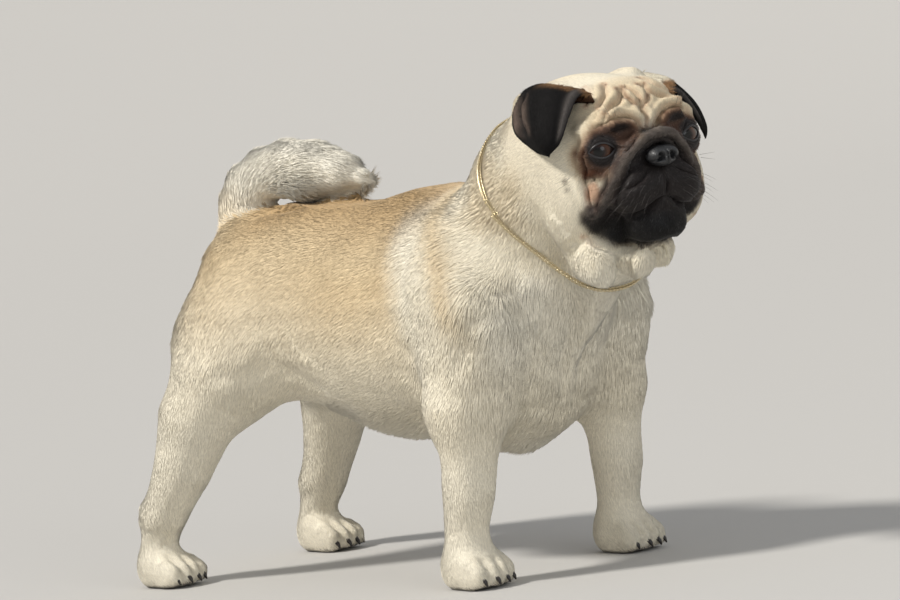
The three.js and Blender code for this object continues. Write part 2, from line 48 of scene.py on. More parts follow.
VOXEL = 3.4 * MM
FLESH = [
    "torso", "neck", "head", "muzzle", "lower_jaw", "tail_base", "tail_curl",
    "foreleg_left", "foreleg_right", "hind_leg_left", "hind_leg_right",
    "paw_front_left", "paw_front_right", "paw_hind_left", "paw_hind_right",
]
PAWS = [name for name in FLESH if name.startswith("paw")]

# The head's own frame, read from where its two eyes are.
EYE = (43.0, 32.0, 11.0)
EYE_RADIUS = 12.5
EYE_TURN = math.radians(20)


def middle_of(node):
    low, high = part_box(node)
    return (low + high) / 2


def head_frame():
    left, right = middle_of("eye_left"), middle_of("eye_right")
    across = (left - right).normalized()
    ahead = Vector((across.y, -across.x, 0)).normalized()
    up = ahead.cross(across)
    origin = (left + right) / 2 - (ahead * EYE[0] + up * EYE[2]) * MM
    return np.array(origin), np.array([ahead, across, up])


HEAD_ORIGIN, HEAD_AXES = head_frame()


def to_head(points):
    return (np.atleast_2d(points) - HEAD_ORIGIN) @ HEAD_AXES.T / MM


def from_head(points):
    return np.atleast_2d(np.asarray(points, float)) @ HEAD_AXES * MM + HEAD_ORIGIN


# Small numeric helpers


def unit(vectors):
    return vectors / np.maximum(np.linalg.norm(vectors, axis=-1, keepdims=True), 1e-12)


def ramp(value, low, high):
    t = np.clip((value - low) / (high - low), 0, 1)
    return t * t * (3 - 2 * t)


def bell(value, width):
    return np.exp(-((value / width) ** 2))


def egg(points, centre, half, mirror=False):
    """Signed distance-like value of an ellipsoid: below 0 inside, in the units of points."""
    q = points.copy()
    if mirror:
        q[:, 1] = np.abs(q[:, 1])
    q = (q - np.array(centre)) / np.array(half)
    return (np.linalg.norm(q, axis=1) - 1) * min(half)


def to_line(points, line):
    """For each point, the nearest point on a polyline and how far along the line it is, from 0 to 1."""
    line = np.asarray(line, float)
    steps = np.linalg.norm(np.diff(line, axis=0), axis=1)
    best = np.full(len(points), 1e9)
    near = np.zeros_like(points)
    along = np.zeros(len(points))
    walked = 0.0
    for a, b, step in zip(line[:-1], line[1:], steps):
        t = np.clip(((points - a) @ (b - a)) / max(step * step, 1e-12), 0, 1)
        spot = a + t[:, None] * (b - a)
        gap = np.linalg.norm(points - spot, axis=1)
        closer = gap < best
        best[closer] = gap[closer]
        near[closer] = spot[closer]
        along[closer] = (walked + t[closer] * step) / steps.sum()
        walked += step
    return near, best, along


def rounded(line, count=24):
    """The same polyline as a smooth curve through its points."""
    line = np.asarray(line, float)
    padded = np.vstack([2 * line[0] - line[1], line, 2 * line[-1] - line[-2]])
    spots = np.linspace(0, len(line) - 1, count)
    out = []
    for s in spots:
        i = min(int(s), len(line) - 2)
        t = s - i
        p0, p1, p2, p3 = padded[i:i + 4]
        out.append(0.5 * (2 * p1 + (p2 - p0) * t + (2 * p0 - 5 * p1 + 4 * p2 - p3) * t**2
                          + (3 * p1 - p0 - 3 * p2 + p3) * t**3))
    return np.array(out)


def waves(points, scale, seed):
    """A cheap smooth noise between about -1 and 1."""
    rng = np.random.default_rng(seed)
    total = np.zeros(len(points))
    for _ in range(7):
        way = unit(rng.normal(size=3))
        total += np.sin(points @ way * scale * rng.uniform(0.6, 1.7) + rng.uniform(0, 6.28))
    return total / 3.2


def relax(values, pairs, weight, rounds, hold=False):
    """Moves each value towards the mean of its neighbours, for some rounds; hold keeps the volume."""
    flat = values.ndim == 1
    values = values.astype(float).reshape(len(values), -1).copy()
    count = np.maximum(np.bincount(pairs.ravel(), minlength=len(values)), 1)[:, None]
    weight = np.broadcast_to(np.asarray(weight, float).reshape(-1, 1), (len(values), 1))
    for _ in range(rounds):
        for step in (weight, -1.05 * weight) if hold else (weight,):
            total = np.empty_like(values)
            for axis in range(values.shape[1]):
                column = values[:, axis]
                total[:, axis] = np.bincount(pairs[:, 0], column[pairs[:, 1]], len(values))
                total[:, axis] += np.bincount(pairs[:, 1], column[pairs[:, 0]], len(values))
            values += (total / count - values) * step
    return values[:, 0] if flat else values


# Mesh helpers


def coords_of(mesh):
    flat = np.empty(len(mesh.vertices) * 3, np.float32)
    mesh.vertices.foreach_get("co", flat)
    return flat.reshape(-1, 3).astype(float)


def set_coords(mesh, points):
    mesh.vertices.foreach_set("co", points.astype(np.float32).ravel())
    mesh.update()


def normals_of(mesh):
    flat = np.empty(len(mesh.vertices) * 3, np.float32)
    mesh.vertex_normals.foreach_get("vector", flat)
    return flat.reshape(-1, 3).astype(float)


def pairs_of(mesh):
    flat = np.empty(len(mesh.edges) * 2, np.int32)
    mesh.edges.foreach_get("vertices", flat)
    return flat.reshape(-1, 2)


def smooth_faces(mesh):
    mesh.polygons.foreach_set("use_smooth", np.ones(len(mesh.polygons), bool))


def placed(name, mesh, material):
    piece = bpy.data.objects.new(name, mesh)
    bpy.context.scene.collection.objects.link(piece)
    mesh.materials.clear()
    mesh.materials.append(material)
    smooth_faces(mesh)
    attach(piece, "root")
    return piece


def face_outwards(mesh):
    bm = bmesh.new()
    bm.from_mesh(mesh)
    bmesh.ops.recalc_face_normals(bm, faces=bm.faces)
    bm.to_mesh(mesh)
    bm.free()


def mesh_from(bm, name):
    mesh = bpy.data.meshes.new(name)
    bm.to_mesh(mesh)
    bm.free()
    return mesh


def merged(nodes):
    """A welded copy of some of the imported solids."""
    bm = bmesh.new()
    for node in nodes:
        bm.from_mesh(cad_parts[node].data)
    bmesh.ops.remove_doubles(bm, verts=bm.verts, dist=2e-6)
    return bm


def add_tone(mesh, name, colors):
    layer = mesh.attributes.new(name, "FLOAT_COLOR", "POINT")
    rgba = np.ones((len(colors), 4), np.float32)
    rgba[:, :3] = colors
    layer.data.foreach_set("color", rgba.ravel())


def refine(mesh, wanted):
    """Splits every edge once where both of its ends are wanted."""
    bm = bmesh.new()
    bm.from_mesh(mesh)
    bm.verts.ensure_lookup_table()
    edges = [e for e in bm.edges if wanted[e.verts[0].index] and wanted[e.verts[1].index]]
    bmesh.ops.subdivide_edges(bm, edges=edges, cuts=1, use_grid_fill=True)
    bmesh.ops.triangulate(bm, faces=[f for f in bm.faces if len(f.verts) > 4])
    bm.to_mesh(mesh)
    bm.free()
    mesh.update()


# Folds of the face, in the head's frame, drawn on one side and mirrored where both is set.

BROW_FOLD = [(50, 38, 28), (52, 35, 31), (56, 32, 31), (58, 24, 32),
             (58, 17, 32), (59, 11, 29), (58, 7, 25), (58, 4, 20)]
TEMPLE_FOLD = [(42, 6, 51), (46, 10, 46), (49, 14, 42), (50, 21, 39), (55, 30, 36), (52, 35, 31)]
CENTRE_FOLD = [(43, -5, 51), (46, -3, 48), (50, 0, 43), (53, 0, 38), (55, -1, 33), (57, 0, 28), (58, -1, 22)]
HANGING_FOLD = [(43, 11, 50), (46, 9, 47), (49, 8, 43), (53, 5, 39), (54, 1, 36)]
CROWN_ARC = [(32, 13, 54), (36, 17, 52), (41, 20, 48), (43, 24, 44), (44, 29, 40)]
CROWN_LINE = [(20, 22, 55), (28, 25, 52), (34, 29, 47), (36, 33, 41)]
ROLL_ABOVE = [(64, 0, 25), (64, 7, 24), (66, 14, 19), (66, 22, 11),
              (61, 29, 4), (57, 35, -8), (50, 40, -18), (45, 42, -26)]
ROLL_BELOW = [(74, 0, 11), (72, 8, 11), (68, 14, 4), (64, 19, -1),
              (63, 24, -6), (62, 29, -11), (60, 32, -16), (53, 33, -26)]
ROLL_CREST = [(73, 0, 19), (71, 8, 18), (68, 17, 11), (65, 24, 5),
              (61, 29, -1), (58, 33, -8), (55, 36, -15), (49, 37, -22)]
LIP_CREASE = [(66, 10, -3), (68, 13, -8), (69, 18, -12), (68, 24, -15), (64, 28, -17)]
MOUTH = [(70, 0, -26), (67, 6, -29), (63, 12, -33), (58, 19, -35),
         (51, 26, -36), (44, 33, -37), (40, 38, -38)]
PHILTRUM = [(74, 0, -4), (73, 1, -10), (72, 1, -16), (70, 0, -25)]
CHEEK_CREASE = [(47, 47, 16), (43, 46, 8), (40, 45, -4), (39, 44, -15), (41, 45, -23), (45, 43, -28)]
UNDER_EYE = [(42, 45, 1), (49, 42, -4), (55, 36, -4), (60, 31, 2)]
JOWL_FOLD = [(27, 46, -45), (32, 38, -53), (40, 27, -57), (50, 12, -59), (52, 0, -59)]
THROAT_FOLDS = [
    ([(44, -24, -54), (42, -24, -66), (36, -24, -78), (24, -25, -88)], False, 6.0, 3.0, 0.6),
    ([(52, 4, -52), (48, 4, -66), (40, 4, -79), (26, 4, -86)], False, 3.6, 2.4, 0.2),
]

CREASES = [
    # the line, both sides, depth, width, swelling beside it, all in millimetres
    (BROW_FOLD, True, 4.0, 1.7, 1.7),
    (TEMPLE_FOLD, True, 3.4, 1.7, 1.4),
    (CENTRE_FOLD, False, 3.6, 1.6, 1.5),
    (HANGING_FOLD, True, 2.7, 1.4, 1.0),
    (CROWN_ARC, True, 2.4, 1.7, 1.0),
    (CROWN_LINE, True, 1.4, 1.9, 0.6),
    (ROLL_ABOVE, True, 2.6, 1.7, 0.3),
    (ROLL_BELOW, True, 4.6, 1.8, 0.4),
    (LIP_CREASE, True, 1.9, 1.3, 0.6),
    (MOUTH, True, 5.0, 1.5, 1.0),
    (PHILTRUM, False, 2.6, 1.0, 0.9),
    (CHEEK_CREASE, True, 3.6, 1.5, 1.2),
    (UNDER_EYE, True, 1.5, 1.3, 0.7),
    (JOWL_FOLD, True, 2.8, 2.6, 0.3),
]
RIDGES = [
    # the line, both sides, height, width
    (ROLL_CREST, True, 2.0, 3.6),
    ([(58, 12, 26), (58, 18, 27), (56, 26, 26), (53, 32, 25)], True, 1.8, 4.0),
    ([(70, 10, -18), (67, 19, -20), (61, 26, -24)], True, 2.6, 6.5),
    ([(47, 40, -28), (42, 44, -32)], True, 1.6, 5.0),
    ([(62, 0, -42), (60, 10, -43), (52, 20, -44)], True, 1.2, 4.0),
    ([(-28, 43, 46), (2, 44, 45)], True, 7.0, 9.5),
    ([(34, -36, -74), (36, -34, -68)], False, 2.0, 8.0),
    ([(44, -12, -70), (44, -6, -70)], False, 2.2, 8.0),
    ([(20, -46, -84), (22, -30, -88), (28, -10, -86)], False, -4.0, 8.0),
    ([(-22, 31, 54), (-6, 32, 55)], False, 11.0, 8.5),
    ([(40, 17, -66), (34, 18, -78)], False, -3.5, 10.0),
    ([(66, -9, -46), (68, 0, -45), (66, 9, -46)], False, -2.2, 9.0),
]


def sides_of(line, both):
    line = rounded(line)
    yield line
    if both:
        yield line * np.array([1, -1, 1])


def crease_gap(local):
    """How far each head point is from the nearest fold line, in millimetres."""
    gap = np.full(len(local), 99.0)
    for line, both, *_ in CREASES:
        for side in sides_of(line, both):
            gap = np.minimum(gap, to_line(local, side)[1])
    return gap


def carve(p, n, folds, reach, edge):
    """How far each point moves along its normal n for the folds near it; edge 1 is sharp, 2 soft."""
    shift = np.zeros(len(p))
    for line, both, depth, width, swell in folds:
        for side in sides_of(line, both):
            spot, gap, along = to_line(p, side)
            away = p - spot
            flat = np.linalg.norm(away - n * (away * n).sum(1)[:, None], axis=1)
            fade = np.clip(np.minimum(along, 1 - along) * 5, 0, 1) ** 0.6
            inside = gap < reach
            shift -= inside * fade * depth * np.exp(-((flat / width) ** edge))
            shift += inside * fade * swell * bell(flat - 2.6 * width, 1.6 * width)
    return shift


def sculpt_face(mesh):
    points = coords_of(mesh)
    local = to_head(points)
    pick = np.nonzero(np.linalg.norm(local - np.array([20, 0, -15]), axis=1) < 95)[0]
    p = local[pick]
    n = unit(normals_of(mesh)[pick] @ HEAD_AXES.T)
    shift = carve(p, n, CREASES, 13, 1.15) + carve(p, n, THROAT_FOLDS, 18, 2)
    for line, both, height, width in RIDGES:
        for side in sides_of(line, both):
            shift += height * bell(to_line(p, side)[1], width)
    points[pick] = from_head(p + n * shift[:, None])
    set_coords(mesh, points)


# Soft folds of the body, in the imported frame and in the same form.
BODY_FOLDS = [
    ([(150, -64, 262), (152, -43, 222), (149, -27, 192), (135, -14, 165), (112, -6, 125)],
     True, 4.4, 6.5, 2.4),
    ([(-70, -70, 122), (-98, -80, 140), (-118, -86, 168)], True, 2.2, 12.0, 0.8),
    ([(50, -86, 122), (45, -97, 148), (48, -101, 176)], True, 3.0, 9.0, 1.6),
    ([(118, -74, 210), (112, -93, 182), (100, -101, 150)], True, 1.8, 8.0, 1.2),
    ([(60, -70, 262), (50, -88, 235), (38, -96, 205)], True, 1.5, 9.0, 1.0),
    ([(-150, -6, 268), (-60, -6, 272), (30, -6, 274)], True, 1.4, 9.0, 0.6),
]


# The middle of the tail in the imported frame, from its root over the curl to its tip.
TAIL_LINE = [(-168, 0, 232), (-179, 0, 252), (-181, 0, 268), (-175, 1, 282), (-160, 2, 293), (-140, 3, 299),
             (-114, 4, 298), (-92, 6, 291), (-73, 8, 284)]

TAIL_FILL = 6.0
TAIL_REACH = 34


def sculpt_body(mesh):
    points = coords_of(mesh)
    p = points / MM
    n = normals_of(mesh)
    pick = np.nonzero(~head_region(points))[0]
    shift = np.zeros(len(p))
    shift[pick] = carve(p[pick], n[pick], BODY_FOLDS, 40, 2)
    # Dense hair nearly fills the hollow under the tail's curl.
    hollow = np.hypot(p[:, 0] + 130, p[:, 2] - 268)
    shift += TAIL_FILL * bell(hollow, 20) * (to_line(p, TAIL_LINE)[1] < TAIL_REACH)
    set_coords(mesh, points + n * shift[:, None] * MM)


# How wide the lids reach over the eyeball, and how far their middle stands above its middle.
LID_WIDTH = 0.74
LID_RISE = 0.02


def eye_middle(side):
    return np.array([EYE[0], side * EYE[1], EYE[2]])


def eye_axes(side):
    """The way an eye's opening faces, and the way across it."""
    gaze = np.array([math.cos(EYE_TURN), side * math.sin(EYE_TURN), 0.0])
    across = np.array([-side * math.sin(EYE_TURN), math.cos(EYE_TURN), 0.0]) * side
    return gaze, across


def eye_polar(local, side):
    """A head point seen from an eye: distance, and its place across and up the eye in lid units."""
    centre = eye_middle(side)
    gaze, across = eye_axes(side)
    away = local - centre
    reach = np.linalg.norm(away, axis=1)
    way = away / np.maximum(reach, 1e-9)[:, None]
    facing = way @ gaze
    return centre, way, reach, facing, (way @ across) / LID_WIDTH, way[:, 2] - LID_RISE


def lid_open(u):
    """How far the lids stand open, up and down, at u across the eye, from -1 to 1."""
    arch = np.clip(1 - np.abs(u) ** 2.0, 0, 1)
    return 0.42 * arch, 0.38 * arch


def shape_lids(mesh):
    points = coords_of(mesh)
    local = to_head(points)
    for side in (1, -1):
        centre, way, reach, facing, u, v = eye_polar(local, side)
        upper, lower = lid_open(u)
        limit = np.where(v > 0, upper, lower)
        out = np.where(limit > 1e-3, np.abs(v) / np.maximum(limit, 1e-3), 9.0)
        beyond = np.hypot(np.maximum(np.abs(u) - 0.97, 0) * 3.5, np.maximum(out - 1, 0) * 0.9)
        spread = np.where((out < 1) & (np.abs(u) < 1), 0.0, beyond)
        rim = EYE_RADIUS + 0.4 + 0.8 * ramp(spread, 0.02, 0.35)
        rim -= 0.8 * bell(spread - 0.6, 0.16) * ramp(v, -0.2, 0.2)
        rim += 0.4 * ramp(spread, 0.62, 1.1)
        target = np.where(spread <= 0, EYE_RADIUS - 1.4, rim)
        hold = (1 - ramp(spread, 0.6, 1.5)) * (facing > 0.1) * (reach < EYE_RADIUS + 14)
        new_reach = reach + (target - reach) * hold
        local = np.where((hold > 0)[:, None], centre + way * new_reach[:, None], local)
    set_coords(mesh, from_head(local))


PAW_LENGTH = 52
PAW_WIDTHS = {"front": 43, "hind": 39}
TOE_PITCH = 0.235
TOE_GROOVE = np.array([(-9, 0, 24), (6, 0, 19), (15, 0, 12), (17, 0, 3)])
TOE_TOP = np.array([(2, 0, 19), (11, 0, 14)])


def toe_places():
    """For each toe, its paw, its rank across the paw, its place and the paw's width."""
    out = []
    for name in PAWS:
        low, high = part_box(name)
        width = PAW_WIDTHS[name.split("_")[1]]
        middle = np.array([(low.x + high.x) / 2 / MM - 1.3, (low.y + high.y) / 2 / MM, 0])
        for rank in (-1.5, -0.5, 0.5, 1.5):
            reach = PAW_LENGTH * (0.24 - 0.035 * rank * rank)
            out.append((name, rank, middle + np.array([reach, rank * width * TOE_PITCH, 0]), width))
    return out


def groove_toes(mesh):
    points = coords_of(mesh) / MM
    normals = normals_of(mesh)
    shift = np.zeros(len(points))
    toes = toe_places()
    for (name, _, a, _), (other, _, b, _) in zip(toes[:-1], toes[1:]):
        if name != other:
            continue
        line = (a + b) / 2 + TOE_GROOVE
        _, away, along = to_line(points, line)
        shift -= 2.4 * bell(away, 2.2) * ramp(along, 0, 0.25)
    for _, _, a, _ in toes:
        _, away, _ = to_line(points, a + TOE_TOP)
        shift += 1.2 * bell(away, 4.0)
    points += normals * shift[:, None]
    points[:, 2] = np.maximum(points[:, 2], 0.15)
    set_coords(mesh, points * MM)


ZONES = {
    "torso": "torso", "neck": "neck", "head": "head", "muzzle": "mask", "lower_jaw": "mask", "tail": "tail",
    "foreleg": "leg", "hind_leg": "leg", "paw": "paw",
}
COAT_DEPTH = {"torso": 1.8, "neck": 2.2, "head": 0.8, "mask": 0.5, "tail": 0.6, "leg": 0.9, "paw": 0.5}
ZONE_OF = np.array([next(zone for word, zone in ZONES.items() if node.startswith(word)) for node in FLESH])


def nearest_nodes(points):
    """The index in FLESH of the solid nearest to each point."""
    verts, faces, owner = [], [], []
    for number, node in enumerate(FLESH):
        bm = merged([node])
        start = len(verts)
        verts += [v.co.copy() for v in bm.verts]
        bm.verts.index_update()
        faces += [[start + v.index for v in f.verts] for f in bm.faces]
        owner += [number] * len(bm.faces)
        bm.free()
    tree = BVHTree.FromPolygons(verts, faces)
    return np.array([owner[tree.find_nearest(p)[2]] for p in points.tolist()])


def soft_skin():
    """One closed skin over all the flesh, inside the solids by the depth of the coat."""
    bm = merged(FLESH + ["eye_left", "eye_right"])
    rough = mesh_from(bm, "pug_skin_rough")
    holder = bpy.data.objects.new("skin_holder", rough)
    bpy.context.scene.collection.objects.link(holder)
    remesh = holder.modifiers.new("one_skin", "REMESH")
    remesh.mode = "VOXEL"
    remesh.voxel_size = VOXEL
    shown = holder.evaluated_get(bpy.context.evaluated_depsgraph_get())
    mesh = bpy.data.meshes.new_from_object(shown)
    bpy.data.objects.remove(holder)
    mesh.name = "pug_skin"
    points = coords_of(mesh)
    pairs = pairs_of(mesh)
    part = nearest_nodes(points)
    zone = ZONE_OF[part]
    calm = relax(np.where(np.isin(zone, ("head", "mask")), 0.25, 0.5), pairs, 0.6, 6)
    ankle = np.isin(zone, ("leg", "paw")) & (points[:, 2] < 60 * MM)
    throat = throat_share(points)
    points = relax(points, pairs, calm * (1 - 0.5 * throat), 18, hold=True)
    points = relax(points, pairs, 0.5 * ankle, 10, hold=True)
    set_coords(mesh, points)
    depth = relax(np.array([COAT_DEPTH[z] for z in zone]), pairs, 0.6, 14)
    points -= normals_of(mesh) * (depth * (1 - 0.6 * throat) * MM)[:, None]
    set_coords(mesh, points)
    return mesh


def throat_share(points):
    local = to_head(points)
    return ramp(-local[:, 2], 50, 60) * ramp(local[:, 0], 0, 8) * (np.abs(local[:, 1]) < 60)


def head_region(points, grow=0.0):
    local = to_head(points)
    return egg(local, (14, 0, -8), (66 + grow, 62 + grow, 66 + grow)) < 0


def face_region(points):
    local = to_head(points)
    front = (local[:, 0] > 33) & (local[:, 2] > -64) & (local[:, 2] < 58)
    return front & (np.abs(local[:, 1]) < 50)


def fold_region(points):
    local = to_head(points)
    near = np.nonzero(np.linalg.norm(local - np.array([40, 0, -5]), axis=1) < 75)[0]
    wanted = np.zeros(len(points), bool)
    wanted[near] = crease_gap(local[near]) < 3.2
    for side in (1, -1):
        gap = np.linalg.norm(local - eye_middle(side), axis=1)
        wanted |= (gap < EYE_RADIUS + 5) & (local[:, 0] > 45)
    return wanted


def paw_region(points):
    return points[:, 2] < 26 * MM


skin = soft_skin()
refine(skin, head_region(coords_of(skin)) | paw_region(coords_of(skin)))
points = coords_of(skin)
calm = np.where(head_region(points, -3), 0.3, np.where(paw_region(points), 0.3, 0.1))
set_coords(skin, relax(points, pairs_of(skin), calm, 6, hold=True))
refine(skin, face_region(coords_of(skin)))
refine(skin, fold_region(coords_of(skin)))
points = coords_of(skin)
set_coords(skin, relax(points, pairs_of(skin), np.where(face_region(points), 0.45, 0.0), 6, hold=True))
sculpt_face(skin)
sculpt_body(skin)
groove_toes(skin)
shape_lids(skin)

# Markings. Colours are linear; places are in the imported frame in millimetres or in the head's frame.


def srgb(r, g, b):
    c = np.array([r, g, b]) / 255
    return np.where(c <= 0.04045, c / 12.92, ((c + 0.055) / 1.055) ** 2.4)


CREAM = srgb(238, 229, 207)
WHITE = srgb(242, 237, 222)
FAWN = srgb(216, 194, 156)
TAN = srgb(188, 156, 110)
BLACK = srgb(16, 14, 14)
CHARCOAL = srgb(36, 31, 30)
UMBER = srgb(66, 46, 36)
RUST = srgb(112, 64, 38)
GRIZZLE = srgb(104, 95, 88)
PINK = srgb(196, 150, 118)
SOOT = srgb(92, 72, 50)

# Outlines seen from the dog's front, as places across and up from the middle of the skull.
MASK_EDGE = [(-20, 21), (8, 21), (15, 17), (21, 12), (27, 6), (31, 0), (36, -8), (40, -16), (42, -22),
             (47, -27), (48, -35), (43, -43), (34, -50), (24, -56), (12, -58), (-20, -57)]
EYE_EDGE = [(47, 12), (43, 20), (38, 25), (31, 28), (23, 30), (14, 29), (9, 23), (10, 17), (18, 10),
            (26, 4), (31, -2), (35, -6), (42, -5), (46, 3)]


def inside_of(across, up, outline):
    """Distance from an outline in the front view, below 0 inside it."""
    spots = np.stack([across, up, np.zeros(len(up))], 1)
    corners = np.array([(a, b, 0.0) for a, b in outline + outline[:1]])
    gap = to_line(spots, corners)[1]
    odd = np.zeros(len(up), bool)
    for (ax, ay, _), (bx, by, _) in zip(corners[:-1], corners[1:]):
        if ay != by:
            crossed = ((ay > up) != (by > up)) & (across < (bx - ax) * (up - ay) / (by - ay) + ax)
            odd ^= crossed
    return np.where(odd, -gap, gap)


def mix(base, color, amount):
    amount = np.clip(amount, 0, 1)[:, None]
    return base * (1 - amount) + color * amount


def body_tone(points, zone):
    p = points / MM
    x, _, z = p.T
    wobble = waves(p, 0.035, 5) * 9
    color = np.tile(CREAM, (len(p), 1))
    # The tan saddle lies over the back and fades out down the sides.
    flank = ramp(z + wobble + 0.08 * x, 132, 236)
    along = ramp(x + wobble, -222, -165) * (1 - ramp(x + 0.25 * (z - 232), 22, 50))
    color = mix(color, FAWN, flank * along)
    top = ramp(z + wobble * 0.5, 236, 272) * ramp(x, -185, -130) * (1 - ramp(x, 30, 75))
    color = mix(color, TAN, top * 0.85)
    # A pale band runs down behind the shoulder, with a tan streak in front of it.
    band = np.abs(x - (44 + (232 - z) * 0.26)) / (13 + 0.03 * (240 - z))
    color = mix(color, WHITE, np.exp(-band**2) * ramp(z, 95, 150) * (1 - ramp(z, 255, 272)) * 0.2)
    streak = np.abs(x - (78 + (232 - z) * 0.5) + wobble * 0.3) / 10
    color = mix(color, FAWN, np.exp(-streak**2) * ramp(z, 165, 215) * 0.75)
    cape = ramp(x, 70, 100) * ramp(z, 236, 262) * (1 - ramp(z, 292, 312))
    color = mix(color, FAWN, cape * 0.45)
    # Chest, belly, the back of the thighs and the lower legs are palest.
    color = mix(color, WHITE, (1 - ramp(z + 0.12 * x, 88, 130)) * 0.8)
    color = mix(color, WHITE, ramp(x, 108, 132) * (1 - ramp(z, 205, 225)) * 0.6)
    color = mix(color, CREAM, np.isin(zone, ("leg", "paw")) * 0.6)
    tail = zone == "tail"
    t = to_line(p, TAIL_LINE)[2]
    color = mix(color, WHITE, tail * ramp(t, 0.08, 0.35) * 0.95)
    color = mix(color, FAWN, tail * (1 - ramp(t, 0.0, 0.22)) * 0.35)
    # The pads and the soles are dark.
    return mix(color, CHARCOAL, (1 - ramp(z, 1.5, 4.5)) * 0.85)


def head_tone(local):
    x, y, z = local.T
    side = np.abs(y)
    wob = waves(local, 0.16, 11) * 1.4 + waves(local, 0.5, 12) * 0.7
    color = np.tile(CREAM, (len(local), 1))
    color = mix(color, FAWN, ramp(x, 14, 44) * ramp(z, 18, 36) * 0.6)
    color = mix(color, FAWN, ramp(-x, -10, 40) * ramp(z, 10, 50) * 0.4)
    color = mix(color, FAWN, bell(np.hypot(x + 24, z + 8), 16) * 0.5)
    front = ramp(x, 24, 33)
    # Rust and umber around the eyes, black at the lids.
    patch = inside_of(side, z, EYE_EDGE) + wob
    color = mix(color, FAWN, front * (1 - ramp(patch, 0, 7)) * 0.6)
    color = mix(color, RUST, front * (1 - ramp(patch, -2.5, 3.5)) * 0.85)
    color = mix(color, UMBER, front * (1 - ramp(patch, -4.5, 0.5)) * 0.9)
    eye = np.hypot(np.hypot(x - 52, (side - 34) * 1.1), (z - 11) * 1.15) + wob * 0.6
    color = mix(color, CHARCOAL, 1 - ramp(eye, 10.5, 15))
    color = mix(color, UMBER, bell(np.hypot(side - 40, (z + 5) * 1.2), 5) * front * 0.9)
    color = mix(color, RUST, bell(np.hypot(side - 41, (z + 3) * 1.3), 3) * front * 0.6)
    smudge = np.hypot((side - 22) / 8, (z - 24.5) / 3.6) + wob * 0.12
    color = mix(color, BLACK, front * (1 - ramp(smudge, 0.5, 1.3)) * 0.85)
    color = mix(color, PINK, (1 - ramp(egg(local, (43, 41, -16), (7, 5.5, 7), True), -2, 2)) * 0.8)
    # The black mask takes in the muzzle, the flews and the chin, with a soft edge.
    edge = inside_of(side, z, MASK_EDGE) + wob
    color = mix(color, UMBER, front * (1 - ramp(edge, -1.0, 4.0)) * 0.7)
    color = mix(color, CHARCOAL, front * (1 - ramp(edge, -3.0, 1.5)))
    # Below the mouth the mask is painted darker still, near black, beyond its own charcoal: painted shade
    # under the head.
    color = mix(color, BLACK, front * (1 - ramp(z, -42, -30)) * (1 - ramp(edge, -4.0, 0.0)))
    # Grizzled hair on the roll over the nose and at the corners of the mouth.
    crest = np.full(len(local), 99.0)
    for line in sides_of(ROLL_CREST, True):
        crest = np.minimum(crest, to_line(local, line)[1])
    color = mix(color, GRIZZLE, bell(crest, 4.6) * (0.75 + 0.25 * waves(local, 1.4, 13)))
    corner = np.hypot(np.hypot(x - 43, side - 43), z + 30)
    color = mix(color, GRIZZLE, bell(corner, 8) * (0.6 + 0.4 * waves(local, 1.2, 14)))
    # Two small dark moles on each cheek.
    for a, b, c in ((29, 53, -5), (30, 54, -11)):
        away = np.hypot(np.hypot(x - a, side - b), z - c)
        color = mix(color, UMBER, bell(away, 2.0) * 0.9)
    # The bottoms of the folds are painted darker, first with a reddish-brown tint and then near black along
    # the very bottom: painted shade in the creases.
    gap = crease_gap(local)
    color = mix(color, color * srgb(200, 128, 90), bell(gap, 2.2) * 0.5)
    return mix(color, color * 0.12, bell(gap, 0.85) * 0.9)


def tone_at(points, zone):
    """The coat's colour at each point, for the skin and for every tuft rooted there."""
    local = to_head(points)
    on_head = np.isin(zone, ("head", "mask"))
    plane = (local[:, 0] + 20) * 0.847 + (local[:, 2] + 10) * 0.531
    share = np.maximum(ramp(plane, -14, 8) * ramp(local[:, 2], -70, -60), on_head * 1.0)
    color = body_tone(points, zone)
    near = share > 0
    color[near] = mix(color[near], head_tone(local[near]), share[near])
    return color


# Materials


class Nodes:
    """A short way to wire one Principled material."""

    def __init__(self, name):
        self.material = bpy.data.materials.new(name)
        self.material.use_nodes = True
        self.tree = self.material.node_tree
        self.shader = self.tree.nodes["Principled BSDF"]

    def add(self, kind, **inputs):
        node = self.tree.nodes.new(kind)
        for key, value in inputs.items():
            socket = node.inputs[key.replace("_", " ")]
            if hasattr(value, "is_output"):
                self.tree.links.new(value, socket)
            else:
                socket.default_value = value
        return node

    def link(self, output, socket):
        self.tree.links.new(output, self.shader.inputs[socket])

    def set(self, **values):
        for key, value in values.items():
            self.shader.inputs[key.replace("_", " ")].default_value = value

    def noise(self, scale, detail, rough):
        where = self.add("ShaderNodeTexCoord").outputs["Object"]
        grain = self.add("ShaderNodeTexNoise", Vector=where, Scale=scale, Detail=detail, Roughness=rough)
        return grain.outputs["Fac"]

    def math(self, operation, a, b):
        node = self.tree.nodes.new("ShaderNodeMath")
        node.operation = operation
        for socket, value in zip(node.inputs, (a, b)):
            if hasattr(value, "is_output"):
                self.tree.links.new(value, socket)
            else:
                socket.default_value = value
        return node.outputs[0]

    def span(self, value, low, high):
        node = self.add("ShaderNodeMapRange", Value=value)
        node.inputs["To Min"].default_value = low
        node.inputs["To Max"].default_value = high
        return node.outputs["Result"]

    def tinted(self, color, factor):
        """color times a grey factor."""
        node = self.tree.nodes.new("ShaderNodeVectorMath")
        node.operation = "SCALE"
        self.tree.links.new(color, node.inputs[0])
        self.tree.links.new(factor, node.inputs["Scale"])
        return node.outputs[0]

    def bump(self, height, strength, distance):
        node = self.add("ShaderNodeBump", Height=height, Strength=strength, Distance=distance)
        self.link(node.outputs["Normal"], "Normal")


def tone_of(nodes):
    node = nodes.tree.nodes.new("ShaderNodeAttribute")
    node.attribute_name = "tone"
    return node.outputs["Color"]


